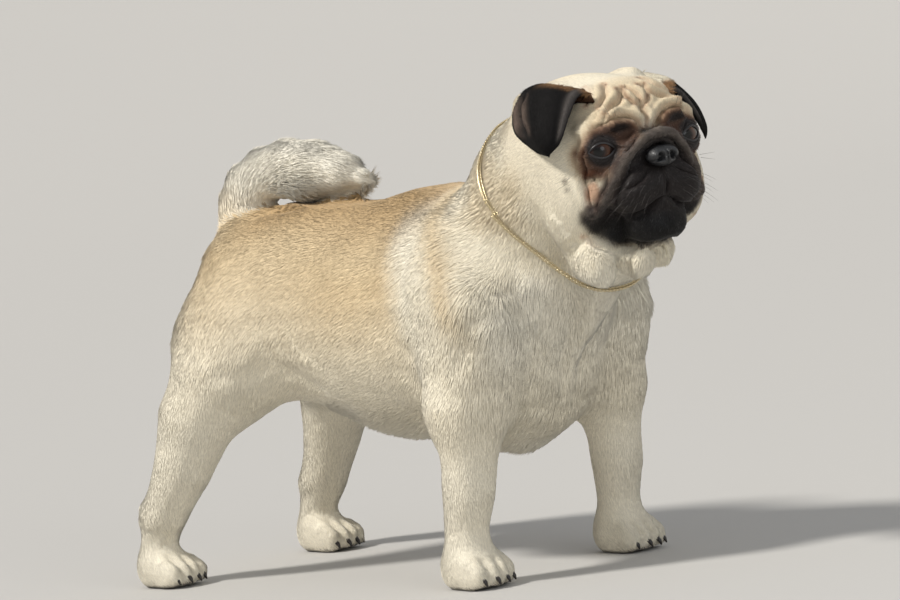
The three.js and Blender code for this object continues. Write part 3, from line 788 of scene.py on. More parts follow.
def skin_material():
    n = Nodes("short_coat_skin")
    fine = n.noise(900, 4, 0.6)
    broad = n.noise(60, 3, 0.5)
    factor = n.math("MULTIPLY", n.span(fine, 0.72, 1.18), n.span(broad, 0.9, 1.08))
    n.link(n.tinted(tone_of(n), factor), "Base Color")
    n.set(Roughness=0.75, Sheen_Weight=0.15, Sheen_Roughness=0.4)
    n.shader.inputs["Specular IOR Level"].default_value = 0.25
    n.bump(fine, 0.5, 0.0006)
    return n.material


def plain_material(name, color, rough):
    n = Nodes(name)
    n.set(Base_Color=(*color, 1), Roughness=rough)
    return n.material


def hair_material(name, rough, sheen):
    n = Nodes(name)
    fine = n.noise(420, 3, 0.6)
    n.link(n.tinted(tone_of(n), n.span(fine, 0.86, 1.1)), "Base Color")
    n.set(Roughness=rough, Sheen_Weight=sheen, Sheen_Roughness=0.35)
    n.shader.inputs["Specular IOR Level"].default_value = 0.3
    return n.material


SKIN_FINISH = skin_material()
COAT_FINISH = hair_material("dense_fawn_hair", 0.65, 0.15)
MASK_FINISH = hair_material("mask_hair", 0.5, 0.1)

skin_points = coords_of(skin)
skin_zone = ZONE_OF[nearest_nodes(skin_points)]
add_tone(skin, "tone", tone_at(skin_points, skin_zone) * 0.9)
skin_piece = placed("pug_skin", skin, SKIN_FINISH)
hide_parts(*FLESH)


# Eyes


def eyeball(side, word):
    centre = eye_middle(side)
    # The dog looks to its right, past the viewer.
    angle = math.radians(-20 + 14 * side)
    gaze = unit(np.array([math.cos(angle), math.sin(angle), 0.0]))
    bm = bmesh.new()
    bmesh.ops.create_uvsphere(bm, u_segments=48, v_segments=40, radius=EYE_RADIUS * 0.985)
    mesh = mesh_from(bm, f"eyeball_{word}")
    ball = coords_of(mesh)
    way = unit(ball)
    polar = np.degrees(np.arccos(np.clip(way[:, 2], -1, 1)))
    ball *= (1 + 0.05 * (1 - ramp(polar, 8, 38)))[:, None]
    turn = np.array(Vector((0, 0, 1)).rotation_difference(Vector(gaze)).to_matrix())
    set_coords(mesh, from_head(ball @ turn.T + centre))
    spoke = np.arctan2(way[:, 1], way[:, 0])
    color = np.tile(srgb(30, 22, 20), (len(ball), 1))
    iris = srgb(70, 41, 25) * (1 + 0.18 * np.sin(spoke * 23))[:, None]
    color = mix(color, srgb(14, 9, 7), 1 - ramp(polar, 42, 46))
    color = mix(color, iris, 1 - ramp(polar, 37, 42))
    color = mix(color, srgb(34, 16, 9), 1 - ramp(polar, 20, 31))
    color = mix(color, srgb(3, 3, 3), 1 - ramp(polar, 16, 19))
    add_tone(mesh, "tone", color)
    return mesh


def eye_material():
    n = Nodes("wet_eye")
    n.link(tone_of(n), "Base Color")
    n.set(Roughness=0.2, Coat_Weight=0.35, Coat_Roughness=0.02)
    n.shader.inputs["Specular IOR Level"].default_value = 0.2
    return n.material


LID_EDGE = 0.75


def lid_rim(side):
    """The moist dark edge of both lids, as one almond ring on the eyeball."""
    centre = eye_middle(side)
    gaze, across = eye_axes(side)
    ring = []
    for turn in np.linspace(0, 2 * math.pi, 48, endpoint=False):
        u = math.cos(turn)
        upper, lower = lid_open(np.array([u]))
        v = float(upper[0]) if math.sin(turn) >= 0 else -float(lower[0])
        a = u * LID_WIDTH
        b = v + LID_RISE
        ahead = gaze * math.sqrt(max(1 - a * a - b * b, 0.05))
        ring.append(centre + unit(ahead + across * a + np.array([0, 0, b])) * (EYE_RADIUS + 0.35))
    ring = np.array(ring)
    bm = bmesh.new()
    loops = []
    for i, spot in enumerate(ring):
        along = unit(ring[(i + 1) % 48] - ring[i - 1])
        out = unit(spot - centre)
        beside = np.cross(along, out)
        loop = []
        for k in range(8):
            t = k / 8 * 2 * math.pi
            edge = spot + (out * math.cos(t) * 0.8 + beside * math.sin(t)) * LID_EDGE
            loop.append(bm.verts.new(from_head(edge)[0]))
        loops.append([bm.edges.new((loop[k], loop[(k + 1) % 8])) for k in range(8)])
    for a, b in zip(loops, loops[1:] + loops[:1]):
        bmesh.ops.bridge_loops(bm, edges=a + b)
    bmesh.ops.recalc_face_normals(bm, faces=bm.faces)
    return mesh_from(bm, "lid_rim")


def wet_skin_material():
    n = Nodes("moist_dark_skin")
    fine = n.noise(1500, 3, 0.6)
    n.set(Base_Color=(0.020, 0.018, 0.019, 1), Roughness=0.3)
    n.bump(fine, 0.4, 0.0003)
    return n.material


EYE_FINISH = eye_material()
LID_FINISH = wet_skin_material()
for side, word in ((1, "left"), (-1, "right")):
    ball = placed(f"eyeball_{word}", eyeball(side, word), EYE_FINISH)
    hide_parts(f"eye_{word}")
    placed(f"lid_rim_{word}", lid_rim(side), LID_FINISH)


# Nose leather

NOSE = (70.0, 0.0, 2.0)


def nose_mesh():
    bm = bmesh.new()
    bmesh.ops.create_uvsphere(bm, u_segments=96, v_segments=72, radius=1)
    bmesh.ops.rotate(bm, verts=bm.verts, cent=(0, 0, 0), matrix=Matrix.Rotation(math.pi / 2, 3, "Y"))
    mesh = mesh_from(bm, "nose_leather")
    ball = coords_of(mesh)
    # Squarer than a ball, broad and flat above, narrower below.
    q = np.sign(ball) * np.abs(ball) ** 0.85 * np.array([8.4, 11.4, 7.2])
    q[:, 1] *= 1 - 0.2 * ramp(-q[:, 2], 0, 7)
    _, y, z = q.T
    facing = ramp(ball[:, 0], 0.05, 0.45)
    side = np.abs(y)
    # Round nostrils that run out sideways and down as a comma, under full wings.
    pit = np.exp(-(np.hypot((side - 4.3) / 2.3, (z + 0.2) / 2.5) ** 2.6))
    slit = bell(z + 1.6 + 0.30 * (side - 4), 0.9)
    slit *= ramp(side, 3.6, 5.2) * (1 - ramp(side, 9.2, 11))
    wing = np.exp(-(np.hypot((side - 7.8) / 2.8, (z - 1.2) / 2.4) ** 2))
    bridge = bell(side - 1.5, 0.9) * (1 - ramp(z, 2.5, 5.5))
    groove = bell(y, 0.6) * (1 - ramp(z, 3.0, 6.0))
    q[:, 0] += facing * (-5.2 * pit - 2.4 * slit + 1.2 * wing + 0.6 * bridge - 1.1 * groove)
    q = q + np.array(NOSE)
    set_coords(mesh, from_head(q))
    return mesh


def nose_material():
    n = Nodes("pebbled_nose_leather")
    where = n.add("ShaderNodeTexCoord").outputs["Object"]
    cells = n.add("ShaderNodeTexVoronoi", Vector=where, Scale=1100.0)
    fine = n.noise(2200, 3, 0.6)
    height = n.math("ADD", n.math("MULTIPLY", cells.outputs["Distance"], 0.8), n.math("MULTIPLY", fine, 0.3))
    shade = n.add("ShaderNodeMix")
    shade.data_type = "RGBA"
    n.tree.links.new(cells.outputs["Distance"], shade.inputs["Factor"])
    shade.inputs["A"].default_value = (0.022, 0.023, 0.025, 1)
    shade.inputs["B"].default_value = (0.007, 0.007, 0.008, 1)
    n.link(shade.outputs["Result"], "Base Color")
    n.set(Roughness=0.42, Coat_Weight=0.2, Coat_Roughness=0.25)
    n.bump(height, 0.7, 0.0005)
    return n.material


nose = placed("nose_leather", nose_mesh(), nose_material())
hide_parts("nose")

# Ears: rows of three points, from the root over the fold to the tip, in the head's frame.

EAR_ROWS = {
    "right": [
        [(41, -29, 44), (14, -40, 46), (-13, -47, 38)],
        [(41, -33, 51), (12, -48, 59), (-12, -51, 57)],
        [(41, -42, 49), (17, -57, 53), (-18, -60, 43)],
        [(41, -50, 38), (24, -64, 37), (-8, -67, 30)],
        [(40, -57, 25), (30, -67, 23), (12, -68, 20)],
        [(35, -61, 16), (31, -65, 13), (26, -66, 13)],
    ],
    "left": [
        [(40, 27, 38), (13, 39, 43), (-18, 41, 40)],
        [(41, 31, 41), (9, 45, 48), (-19, 44, 53)],
        [(42, 37, 39), (12, 53, 43), (-16, 53, 48)],
        [(41, 44, 30), (22, 60, 29), (-6, 62, 34)],
        [(38, 51, 20), (29, 62, 14), (13, 65, 17)],
        [(36, 55, 10), (32, 59, 5), (27, 62, 6)],
    ],
}
EAR_AROUND = 72
EAR_ALONG = 46
# Where the cream fur on the root of each ear ends, down the flap and from its rear edge.
EAR_FUR_DOWN = {"left": (0.16, 0.36), "right": (0.04, 0.16)}
EAR_FUR_BACK = {"left": (0.25, 0.5), "right": (0.5, 0.8)}


def window(value, low, high, soft):
    return ramp(value, low - soft, low + soft) * (1 - ramp(value, high - soft, high + soft))


def ear_mesh(word):
    """A soft closed flap: a grid run once around its section and on to the tip, welded along its back."""
    rows = EAR_ROWS[word]
    columns = [rounded([row[n] for row in rows], EAR_ALONG + 1) for n in range(3)]
    bm = bmesh.new()
    bmesh.ops.create_grid(bm, x_segments=EAR_AROUND, y_segments=EAR_ALONG, size=0.5)
    mesh = mesh_from(bm, f"ear_{word}_flap")
    flat = coords_of(mesh)
    turn = (flat[:, 0] + 0.5) * 2 * math.pi
    v = flat[:, 1] + 0.5
    u = 0.5 - 0.5 * np.cos(turn)
    narrow = 1 - 0.85 * ramp(v, 0.90, 1.0) ** 2
    u_place = 0.5 + (u - 0.5) * narrow
    grid = np.array([rounded([c[k] for c in columns], 121) for k in range(EAR_ALONG + 1)])
    k = np.rint(v * EAR_ALONG).astype(int)
    column = np.rint(u_place * 120).astype(int)
    spots = grid[k, column]
    ahead = grid[k, np.minimum(column + 4, 120)]
    behind = grid[k, np.maximum(column - 4, 0)]
    below = grid[np.minimum(k + 2, EAR_ALONG), column]
    above = grid[np.maximum(k - 2, 0), column]
    out = unit(np.cross(ahead - behind, below - above))
    out *= np.sign((out * unit(spots)).sum(1) + 1e-9)[:, None]
    # The outer face carries the rolled front edge and the folds of the little pouch at the rear edge.
    outer = (np.sin(turn) >= 0) * 1.0
    thick = (3.4 - 1.5 * v) * np.abs(np.sin(turn)) ** 0.6 * (1 - ramp(v, 0.93, 1.0) ** 2 * 0.8)
    height = outer * 1.3 * bell(u - 0.07, 0.05) * window(v, 0.22, 0.85, 0.08)
    height -= outer * 1.0 * bell(u - 0.17, 0.05) * window(v, 0.25, 0.8, 0.08)
    pouch = outer * window(v, 0.34, 0.66, 0.07)
    height += pouch * 2.6 * bell(u - 0.90, 0.04)
    height -= pouch * 2.6 * bell(u - 0.81, 0.035)
    height += pouch * 2.4 * bell(u - 0.73, 0.035) * window(v, 0.40, 0.6, 0.05)
    height += waves(spots, 0.13, 21) * 0.45 * ramp(v, 0.2, 0.6)
    spots = spots + out * (np.sign(np.sin(turn)) * thick / 2 + height)[:, None]
    set_coords(mesh, from_head(spots))
    color = np.tile(srgb(13, 11, 11), (len(spots), 1))
    color = mix(color, srgb(98, 68, 48), (1 - ramp(u, 0.25, 0.6)) * window(v, 0.0, 0.26, 0.06) * 0.9)
    color = mix(color, srgb(164, 128, 92), (1 - ramp(u, 0.3, 0.7)) * window(v, 0.1, 0.28, 0.05) * 0.8)
    # The rolled front edge is painted a lighter grey: a painted highlight along the rim of the black flap.
    rolled_edge_highlight = outer * bell(u - 0.07, 0.06) * window(v, 0.25, 0.8, 0.1)
    color = mix(color, srgb(92, 87, 84), rolled_edge_highlight * 0.8)
    # The crests of the pouch's folds are painted a lighter grey-brown: partly the pouch's own grey-brown
    # hair, partly a painted highlight on the crests.
    folds = bell(u - 0.90, 0.05) + bell(u - 0.73, 0.04)
    color = mix(color, srgb(118, 102, 92), pouch * folds * (0.6 + 0.3 * waves(spots, 0.6, 22)))
    furred = (1 - ramp(v, *EAR_FUR_DOWN[word])) * ramp(u, *EAR_FUR_BACK[word])
    color = mix(color, CREAM, furred * 0.95)
    add_tone(mesh, "tone", color)
    bm = bmesh.new()
    bm.from_mesh(mesh)
    bmesh.ops.remove_doubles(bm, verts=bm.verts, dist=0.02 * MM)
    bmesh.ops.holes_fill(bm, edges=bm.edges, sides=0)
    bmesh.ops.triangulate(bm, faces=[f for f in bm.faces if len(f.verts) > 4])
    bmesh.ops.recalc_face_normals(bm, faces=bm.faces)
    bm.to_mesh(mesh)
    bm.free()
    return mesh


def ear_material():
    n = Nodes("black_ear_velvet")
    fine = n.noise(1300, 4, 0.65)
    broad = n.noise(90, 3, 0.5)
    factor = n.math("MULTIPLY", n.span(fine, 0.6, 1.4), n.span(broad, 0.8, 1.2))
    n.link(n.tinted(tone_of(n), factor), "Base Color")
    n.set(Roughness=0.75)
    n.shader.inputs["Specular IOR Level"].default_value = 0.2
    n.bump(fine, 0.6, 0.0006)
    return n.material


EAR_FINISH = ear_material()
ears = {}
for word in ("left", "right"):
    ears[word] = placed(f"ear_{word}_flap", ear_mesh(word), EAR_FINISH)
    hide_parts(f"ear_{word}")


# Coat: slim closed tufts laid over the skin, each rooted in it and following the lie of the hair.

BODY_LIE = [
    # a place and the way the hair runs there
    ((120, 0, 270), (-1, 0, 0.0)), ((40, 0, 270), (-1, 0, 0)), ((-60, 0, 268), (-1, 0, 0)),
    ((-160, 0, 262), (-1, 0, -0.1)), ((80, 70, 250), (-0.9, 0, -0.5)), ((0, 75, 235), (-1, 0, -0.35)),
    ((-90, 65, 235), (-1, 0, -0.3)), ((60, 100, 190), (-0.7, 0, -0.8)), ((0, 90, 180), (-0.9, 0, -0.55)),
    ((-90, 75, 185), (-0.85, 0, -0.6)), ((60, 80, 125), (-0.6, 0, -0.7)), ((-20, 70, 135), (-1, 0, -0.5)),
    ((-110, 70, 150), (-0.6, 0, -0.9)), ((-190, 50, 230), (-0.4, 0, -1)), ((-205, 40, 190), (0, 0, -1)),
    ((-180, 80, 170), (-0.2, 0, -1)), ((60, 0, 92), (-1, 0, -0.2)), ((-40, 0, 115), (-1, 0, -0.2)),
    ((120, 30, 110), (-0.5, 0.2, -0.9)), ((140, 0, 190), (-0.05, 0, -1)), ((135, 0, 150), (-0.15, 0, -1)),
    ((125, 60, 190), (-0.25, 0, -1)), ((100, 95, 160), (-0.3, 0, -1)), ((110, 60, 250), (-0.7, 0, -0.8)),
    ((150, 50, 240), (-0.5, 0, -1)), ((100, 0, 315), (-0.9, 0, -0.6)), ((130, 0, 330), (-1, 0, -0.3)),
    ((160, 0, 215), (-0.1, 0, -1)), ((84, 80, 90), (0, 0, -1)), ((84, 80, 40), (0, 0, -1)),
    ((95, 80, 12), (0.9, 0, -0.5)), ((-190, 80, 110), (-0.25, 0, -1)), ((-215, 80, 50), (0, 0, -1)),
    ((-200, 80, 12), (0.9, 0, -0.5)), ((-165, 0, 140), (0, 0, -1)),
]
HEAD_LIE = [
    # a place and the way the hair runs there
    ((56, 12, 34), (-0.5, 0.2, 1)), ((50, 0, 42), (-0.6, 0, 0.9)), ((30, 20, 54), (-1, 0.1, 0.3)),
    ((0, 0, 58), (-1, 0, 0)), ((-40, 20, 45), (-1, 0, -0.5)), ((-55, 30, 10), (-0.5, 0, -1)),
    ((10, 55, 20), (-1, 0, -0.4)), ((10, 60, -10), (-0.8, 0, -0.6)), ((30, 50, 5), (-1, 0.2, -0.3)),
    ((25, 52, -25), (-0.6, 0, -0.8)), ((30, 40, -50), (-0.5, 0, -0.9)), ((0, 50, -50), (-0.5, 0, -0.9)),
    ((66, 18, 10), (-0.2, 0.7, -0.7)), ((60, 30, -5), (-0.3, 0.6, -0.8)), ((68, 12, -12), (-0.1, 0.7, -0.7)),
    ((62, 25, -20), (-0.5, 0.6, -0.6)), ((45, 40, -28), (-0.7, 0.3, -0.7)), ((64, 0, -44), (-0.2, 0, -1)),
    ((50, 20, -50), (-0.6, 0.3, -0.8)), ((40, 0, -60), (-1, 0, -0.3)), ((26, 39, -68), (-0.1, 0, -1)),
    ((34, 11, -70), (-0.1, 0, -1)), ((54, 36, 24), (-0.4, 0.7, 0.6)), ((58, 24, 24), (0, 0.5, 0.9)),
]


def lie_of(points, anchors, reach):
    """The way the hair runs at each point, from the anchors around it, which stand on both sides."""
    total = np.zeros_like(points)
    for spot, way in anchors:
        for side in (1, -1):
            if side < 0 and spot[1] == 0:
                continue
            flip = np.array([1, side, 1])
            gap = np.linalg.norm(points - np.array(spot) * flip, axis=1)
            total += bell(gap, reach)[:, None] * unit(np.array(way, float)) * flip
            total += 1e-4 / (1 + gap[:, None] ** 2) * np.array(way) * flip
    return unit(total)


def hair_lie(points, zone):
    p = points / MM
    way = lie_of(p, BODY_LIE, 42)
    local = to_head(points)
    on_head = np.isin(zone, ("head", "mask")) | (throat_share(points) > 0.3)
    way[on_head] = lie_of(local[on_head], HEAD_LIE, 18) @ HEAD_AXES
    tail = zone == "tail"
    line = rounded(TAIL_LINE, 60)
    _, _, t = to_line(p[tail], line)
    tangent = unit(np.gradient(line, axis=0))
    way[tail] = tangent[np.clip((t * 59).astype(int), 0, 59)]
    return way


# Length, width and tip height of a tuft in millimetres, and tufts for each square millimetre.
COAT_PLAN = {
    "torso": (9.0, 0.46, 0.6, 0.80), "neck": (9.5, 0.46, 0.9, 1.0), "leg": (6.0, 0.44, 0.35, 0.85),
    "paw": (3.4, 0.38, 0.25, 1.3), "tail": (13.0, 0.52, 2.2, 1.7), "head": (4.0, 0.38, 0.3, 1.5),
    "mask": (2.3, 0.30, 0.28, 2.2),
}
FACE_HAIR = (2.5, 0.32, 0.28, 2.1)
THROAT_HAIR = (4.5, 0.40, 0.7, 1.5)
BELLY_FRINGE = (15.0, 0.48, 5.2, 0.9)
BREECH_HAIR = (13.5, 0.5, 2.8, 0.85)
CHEST_HAIR = (12.5, 0.5, 1.5, 0.85)
NAPE_LIFT = 3.2
WITHERS_LIFT = 2.6


def tuft_plan(points, zone, pairs):
    x, _, z = (points / MM).T
    local = to_head(points)
    plan = np.array([COAT_PLAN[word] for word in COAT_PLAN])[[list(COAT_PLAN).index(word) for word in zone]]
    face = (local[:, 0] > 36) & np.isin(zone, ("head", "mask"))
    plan[face] = FACE_HAIR
    plan[throat_share(points) > 0.5] = THROAT_HAIR
    plan[(zone == "neck") & (local[:, 0] < -15) & (local[:, 2] > -30), 2] = NAPE_LIFT
    plan[(zone == "torso") & (x > 40) & (z > 262), 2] = WITHERS_LIFT
    plan[(zone == "torso") & (z < 122) & (x < 80)] = BELLY_FRINGE
    plan[(zone == "torso") & (x < -185)] = BREECH_HAIR
    plan[(zone == "torso") & (x > 100) & (z < 215)] = CHEST_HAIR
    plan = relax(plan, pairs, 0.6, 20)
    # The hair inside the tail's curl stands into the gap and nearly fills it.
    inner = bell(np.hypot(x + 128, z - 270), 20) * (zone == "tail")
    plan[:, 2] += 9.0 * inner
    plan[:, 0] += 2.0 * inner
    return plan


def surface_of(mesh):
    mesh.calc_loop_triangles()
    flat = np.empty(len(mesh.loop_triangles) * 3, np.int32)
    mesh.loop_triangles.foreach_get("vertices", flat)
    return flat.reshape(-1, 3)


def bare_places(points):
    """Where no hair grows: inside the lids, under the nose leather, in the folds and on the soles."""
    local = to_head(points)
    bare = points[:, 2] < 2.0 * MM
    for side in (1, -1):
        _, _, reach, facing, u, v = eye_polar(local, side)
        upper, lower = lid_open(u)
        limit = np.where(v > 0, upper, lower) * 1.04 + 0.07
        bare |= (reach < EYE_RADIUS + 6) & (facing > 0.2) & (np.abs(u) < 1.08) & (np.abs(v) < limit)
    bare |= egg(local, NOSE, (8.6, 11.6, 7.2)) < 0.6
    near = np.nonzero(local[:, 0] > 15)[0]
    bare[near] |= crease_gap(local[near]) < 0.7
    return bare


def scatter(mesh, plan, rng, *fields):
    """Roots spread over a surface, as many for each area as the plan asks, with the fields there."""
    points = coords_of(mesh)
    tris = surface_of(mesh)
    a, b, c = (points[tris[:, k]] for k in range(3))
    area = np.linalg.norm(np.cross(b - a, c - a), axis=1) / 2 / MM**2
    edges = np.cumsum(area * plan[tris, 3].mean(1))
    count = int(edges[-1])
    marks = np.arange(count) + rng.uniform(0, 1, count)
    face = tris[np.clip(np.searchsorted(edges, marks * edges[-1] / count), 0, len(tris) - 1)]
    r1, r2 = np.sqrt(rng.uniform(0, 1, count)), rng.uniform(0, 1, count)
    share = np.stack([1 - r1, r1 * (1 - r2), r1 * r2], 1)[:, :, None]
    return face[:, 0], [(field[face] * share).sum(1) for field in (points, normals_of(mesh), plan, *fields)]


def tufts(root, normal, plan, way, rng):
    """The four corners of every tuft, its root, two broad sides and tip, and the way each one faces."""
    count = len(root)
    normal = unit(normal)
    length, width, lift = plan[:, 0], plan[:, 1], plan[:, 2]
    side = unit(np.cross(normal, way))
    swirl = waves(root / MM, 0.05, 31)[:, None] * 0.09 + waves(root / MM, 0.22, 32)[:, None] * 0.05
    way = unit(way + side * (swirl + rng.normal(0, 0.08, (count, 1))))
    way = unit(way - normal * (way * normal).sum(1)[:, None])
    side = np.cross(normal, way)
    length = length * rng.uniform(0.75, 1.2, count) * MM
    width = width * rng.uniform(0.8, 1.25, count) * MM
    lift = lift * rng.uniform(0.5, 1.3, count) * (1 + 0.2 * waves(root / MM, 0.09, 41)) * MM
    middle = root + way * (0.42 * length)[:, None] + normal * (0.62 * lift + 0.15 * MM)[:, None]
    corner = np.empty((count, 4, 3))
    corner[:, 0] = root - normal * 0.3 * MM
    corner[:, 1] = middle + side * (width / 2)[:, None]
    corner[:, 2] = middle - side * (width / 2)[:, None]
    corner[:, 3] = root + way * length[:, None] + normal * (lift - 0.1 * MM)[:, None]
    corner[:, :, 2] = np.maximum(corner[:, :, 2], 0.3 * MM)
    sides = [unit(normal + 0.28 * side), unit(normal - 0.28 * side)]
    facing = np.stack([normal, *sides, unit(normal + 0.2 * way)], 1)
    return corner, facing


def hair_tones(root, zone, rng):
    """Each tuft's colour along it and at its tip: sooty tips on the saddle, silver hairs in the mask."""
    count = len(root)
    tone = tone_at(root, zone) * rng.normal(1.0, 0.05, (count, 1))
    tip = tone * 1.05
    x, _, z = (root / MM).T
    sooty = ramp(z, 205, 262) * ramp(x, -195, -140) * (1 - ramp(x, 30, 70)) * (zone == "torso")
    tip = mix(tip, SOOT, sooty * (rng.uniform(0, 1, count) < 0.25) * 0.7)
    silver = (tone.mean(1) < 0.07) & (rng.uniform(0, 1, count) < 0.07)
    tone[silver] = tone[silver] * 1.8 + 0.01
    tip[silver] = tip[silver] * 2.6 + 0.05
    return np.clip(tone, 0, 1), np.clip(tip, 0, 1)


TUFT_FACES = np.array([(0, 2, 1), (1, 2, 3), (0, 1, 3), (0, 3, 2)])
TUFT_PATCH = np.array([(0.5, 0.0), (0.0, 0.45), (1.0, 0.45), (0.5, 1.0)]) * 0.003


def unwrap_place(points, family):
    """A root's place on a plain unwrap of the part of the skin that it grows on."""
    p = points / MM
    if family == "head":
        local = to_head(points)
        way = unit(local - np.array([10, 0, -10]))
        turn = np.arctan2(way[:, 1], way[:, 0]) / (2 * np.pi) + 0.5
        return np.stack([turn, np.arccos(way[:, 2]) / np.pi], 1)
    if family == "legs":
        quarter = (p[:, 0] > -60) * 2 + (p[:, 1] > 0)
        middle_x = np.where(p[:, 0] > -60, 84, -195)
        turn = np.arctan2(p[:, 1] - np.sign(p[:, 1]) * 80, p[:, 0] - middle_x) / (2 * np.pi) + 0.5
        return np.stack([(turn * 0.98 + quarter) / 4, p[:, 2] / 200], 1)
    if family == "tail":
        near, _, t = to_line(p, rounded(TAIL_LINE, 60))
        away = p - near
        return np.stack([np.arctan2(away[:, 1], away[:, 2]) / (2 * np.pi) + 0.5, t], 1)
    turn = np.arctan2(p[:, 1], p[:, 2] - 190) / (2 * np.pi) + 0.5
    return np.stack([turn, (p[:, 0] + 215) / 440], 1)


def coat_piece(name, corner, facing, tone, tip, family, material):
    count = len(corner)
    mesh = bpy.data.meshes.new(name)
    mesh.vertices.add(count * 4)
    mesh.vertices.foreach_set("co", corner.astype(np.float32).ravel())
    faces = (TUFT_FACES[None] + (np.arange(count) * 4)[:, None, None]).reshape(-1, 3)
    mesh.loops.add(len(faces) * 3)
    mesh.loops.foreach_set("vertex_index", faces.astype(np.int32).ravel())
    mesh.polygons.add(len(faces))
    mesh.polygons.foreach_set("loop_start", np.arange(0, len(faces) * 3, 3, dtype=np.int32))
    mesh.polygons.foreach_set("loop_total", np.full(len(faces), 3, np.int32))
    mesh.update(calc_edges=True)
    color = np.stack([tone * 0.9, tone, tone, tip], 1)
    add_tone(mesh, "tone", color.reshape(-1, 3))
    place = np.clip(unwrap_place(corner[:, 0], family), 0, 1) * 0.996
    uv = (place[:, None] + TUFT_PATCH[None]).reshape(-1, 2)
    layer = mesh.uv_layers.new(name="OFBake")
    layer.uv.foreach_set("vector", uv[faces.ravel()].astype(np.float32).ravel())
    piece = placed(name, mesh, material)
    mesh.normals_split_custom_set_from_vertices(facing.reshape(-1, 3))
    return piece


rng = np.random.default_rng(7)
skin_pairs = pairs_of(skin)
plan = tuft_plan(skin_points, skin_zone, skin_pairs)
lie = relax(hair_lie(skin_points, skin_zone), skin_pairs, 0.6, 6)
nearest, (root, normal, plan, way) = scatter(skin, plan, rng, lie)
keep = ~bare_places(root)
root, normal, plan, way = root[keep], normal[keep], plan[keep], way[keep]
zone = skin_zone[nearest[keep]]
corner, facing = tufts(root, normal, plan, way, rng)
tone, tip = hair_tones(root, zone, rng)
x, y, z = (root / MM).T
on_head = np.isin(zone, ("head", "mask"))
on_leg = np.isin(zone, ("leg", "paw"))
dark = on_head & (tone.mean(1) < 0.10)
torso = zone == "torso"
PARTS = [
    # the piece, where it grows, its unwrap, its finish and its slot
    ("coat_mask", dark, "head", MASK_FINISH, "mask"),
    ("coat_head", on_head & ~dark, "head", COAT_FINISH, "coat_fawn"),
    ("coat_neck", zone == "neck", "body", COAT_FINISH, "coat_cream"),
    ("coat_chest", torso & (x > 60), "body", COAT_FINISH, "coat_cream"),
    ("coat_flank_left", torso & (x <= 60) & (x > -80) & (y > 0), "body", COAT_FINISH, "coat_fawn"),
    ("coat_flank_right", torso & (x <= 60) & (x > -80) & (y <= 0), "body", COAT_FINISH, "coat_fawn"),
    ("coat_rump_left", torso & (x <= -80) & (y > 0), "body", COAT_FINISH, "coat_fawn"),
    ("coat_rump_right", torso & (x <= -80) & (y <= 0), "body", COAT_FINISH, "coat_fawn"),
    ("coat_forelegs", on_leg & (x > -60), "legs", COAT_FINISH, "coat_cream"),
    ("coat_hind_leg_left", on_leg & (x <= -60) & (y > 0), "legs", COAT_FINISH, "coat_cream"),
    ("coat_hind_leg_right", on_leg & (x <= -60) & (y <= 0), "legs", COAT_FINISH, "coat_cream"),
    ("coat_tail", zone == "tail", "tail", COAT_FINISH, "coat_cream"),
]
for name, where, family, finish, slot in PARTS:
    coat_piece(name, corner[where], facing[where], tone[where], tip[where], family, finish)

EAR_PLAN = (2.2, 0.30, 0.22, 1.6)
EAR_FUR_PLAN = (5.0, 0.36, 0.9, 1.6)
for word, ear in ears.items():
    mesh = ear.data
    tone = np.empty(len(mesh.vertices) * 4, np.float32)
    mesh.attributes["tone"].data.foreach_get("color", tone)
    tip_end = from_head(EAR_ROWS[word][-1][1])[0]
    points = coords_of(mesh)
    plan = np.tile(EAR_PLAN, (len(points), 1))
    plan[tone.reshape(-1, 4)[:, 0] > 0.3] = EAR_FUR_PLAN
    _, (root, normal, plan, tone) = scatter(mesh, plan, rng, tone.reshape(-1, 4)[:, :3].astype(float))
    corner, facing = tufts(root, normal, plan, unit(tip_end - root), rng)
    tone = tone * rng.normal(1.0, 0.12, (len(root), 1))
    tip = np.clip(tone * 1.3, 0, 1)
    tone = np.clip(tone, 0, 1)
    coat_piece(f"ear_{word}_hair", corner, facing, tone, tip, "head", EAR_FINISH)


# Claws and whiskers


def tapered(spots, radii, sides):
    """A closed tapered rod through a few points, as vertices and faces."""
    spots = np.asarray(spots, float)
    tangent = unit(np.gradient(spots, axis=0))
    across = unit(np.cross(tangent, (0.31, 0.52, 0.8)))
    above = np.cross(across, tangent)
    turn = np.linspace(0, 2 * math.pi, sides, endpoint=False)
    ring = across[:, None] * np.cos(turn)[None, :, None] + above[:, None] * np.sin(turn)[None, :, None]
    verts = (spots[:, None] + ring * np.asarray(radii)[:, None, None]).reshape(-1, 3)
    faces = []
    for low in range(0, (len(spots) - 1) * sides, sides):
        high = low + sides
        faces += [[low + b, low + (b + 1) % sides, high + (b + 1) % sides, high + b] for b in range(sides)]
    faces += [list(range(sides))[::-1], list(range(len(verts) - sides, len(verts)))]
    return verts, faces


def joined(name, rods):
    verts, faces = [], []
    for rod_verts, rod_faces in rods:
        faces += [[index + len(verts) for index in face] for face in rod_faces]
        verts += rod_verts.tolist()
    mesh = bpy.data.meshes.new(name)
    mesh.from_pydata(verts, [], faces)
    face_outwards(mesh)
    return mesh


# A claw's middle line from its toe's place, and its radius along it.
CLAW_LINE = np.array([(9, 0, 9), (12.5, 0, 8.2), (15, 0, 6.0), (16.2, 0, 3.2)])
CLAW_RADII = np.array([2.2, 2.0, 1.4, 0.5])

claws = []
for _, _, toe, _ in toe_places():
    claws.append(tapered((toe + CLAW_LINE) * MM, CLAW_RADII * MM, 8))
CLAW_FINISH = plain_material("dark_claw_horn", (0.02, 0.016, 0.014), 0.35)
placed("claws", joined("claws", claws), CLAW_FINISH)

LIP_WHISKER = np.array([0.16, 0.15, 0.13, 0.1, 0.07, 0.03])
SHORT_WHISKER = np.array([0.13, 0.12, 0.1, 0.08, 0.06, 0.03])
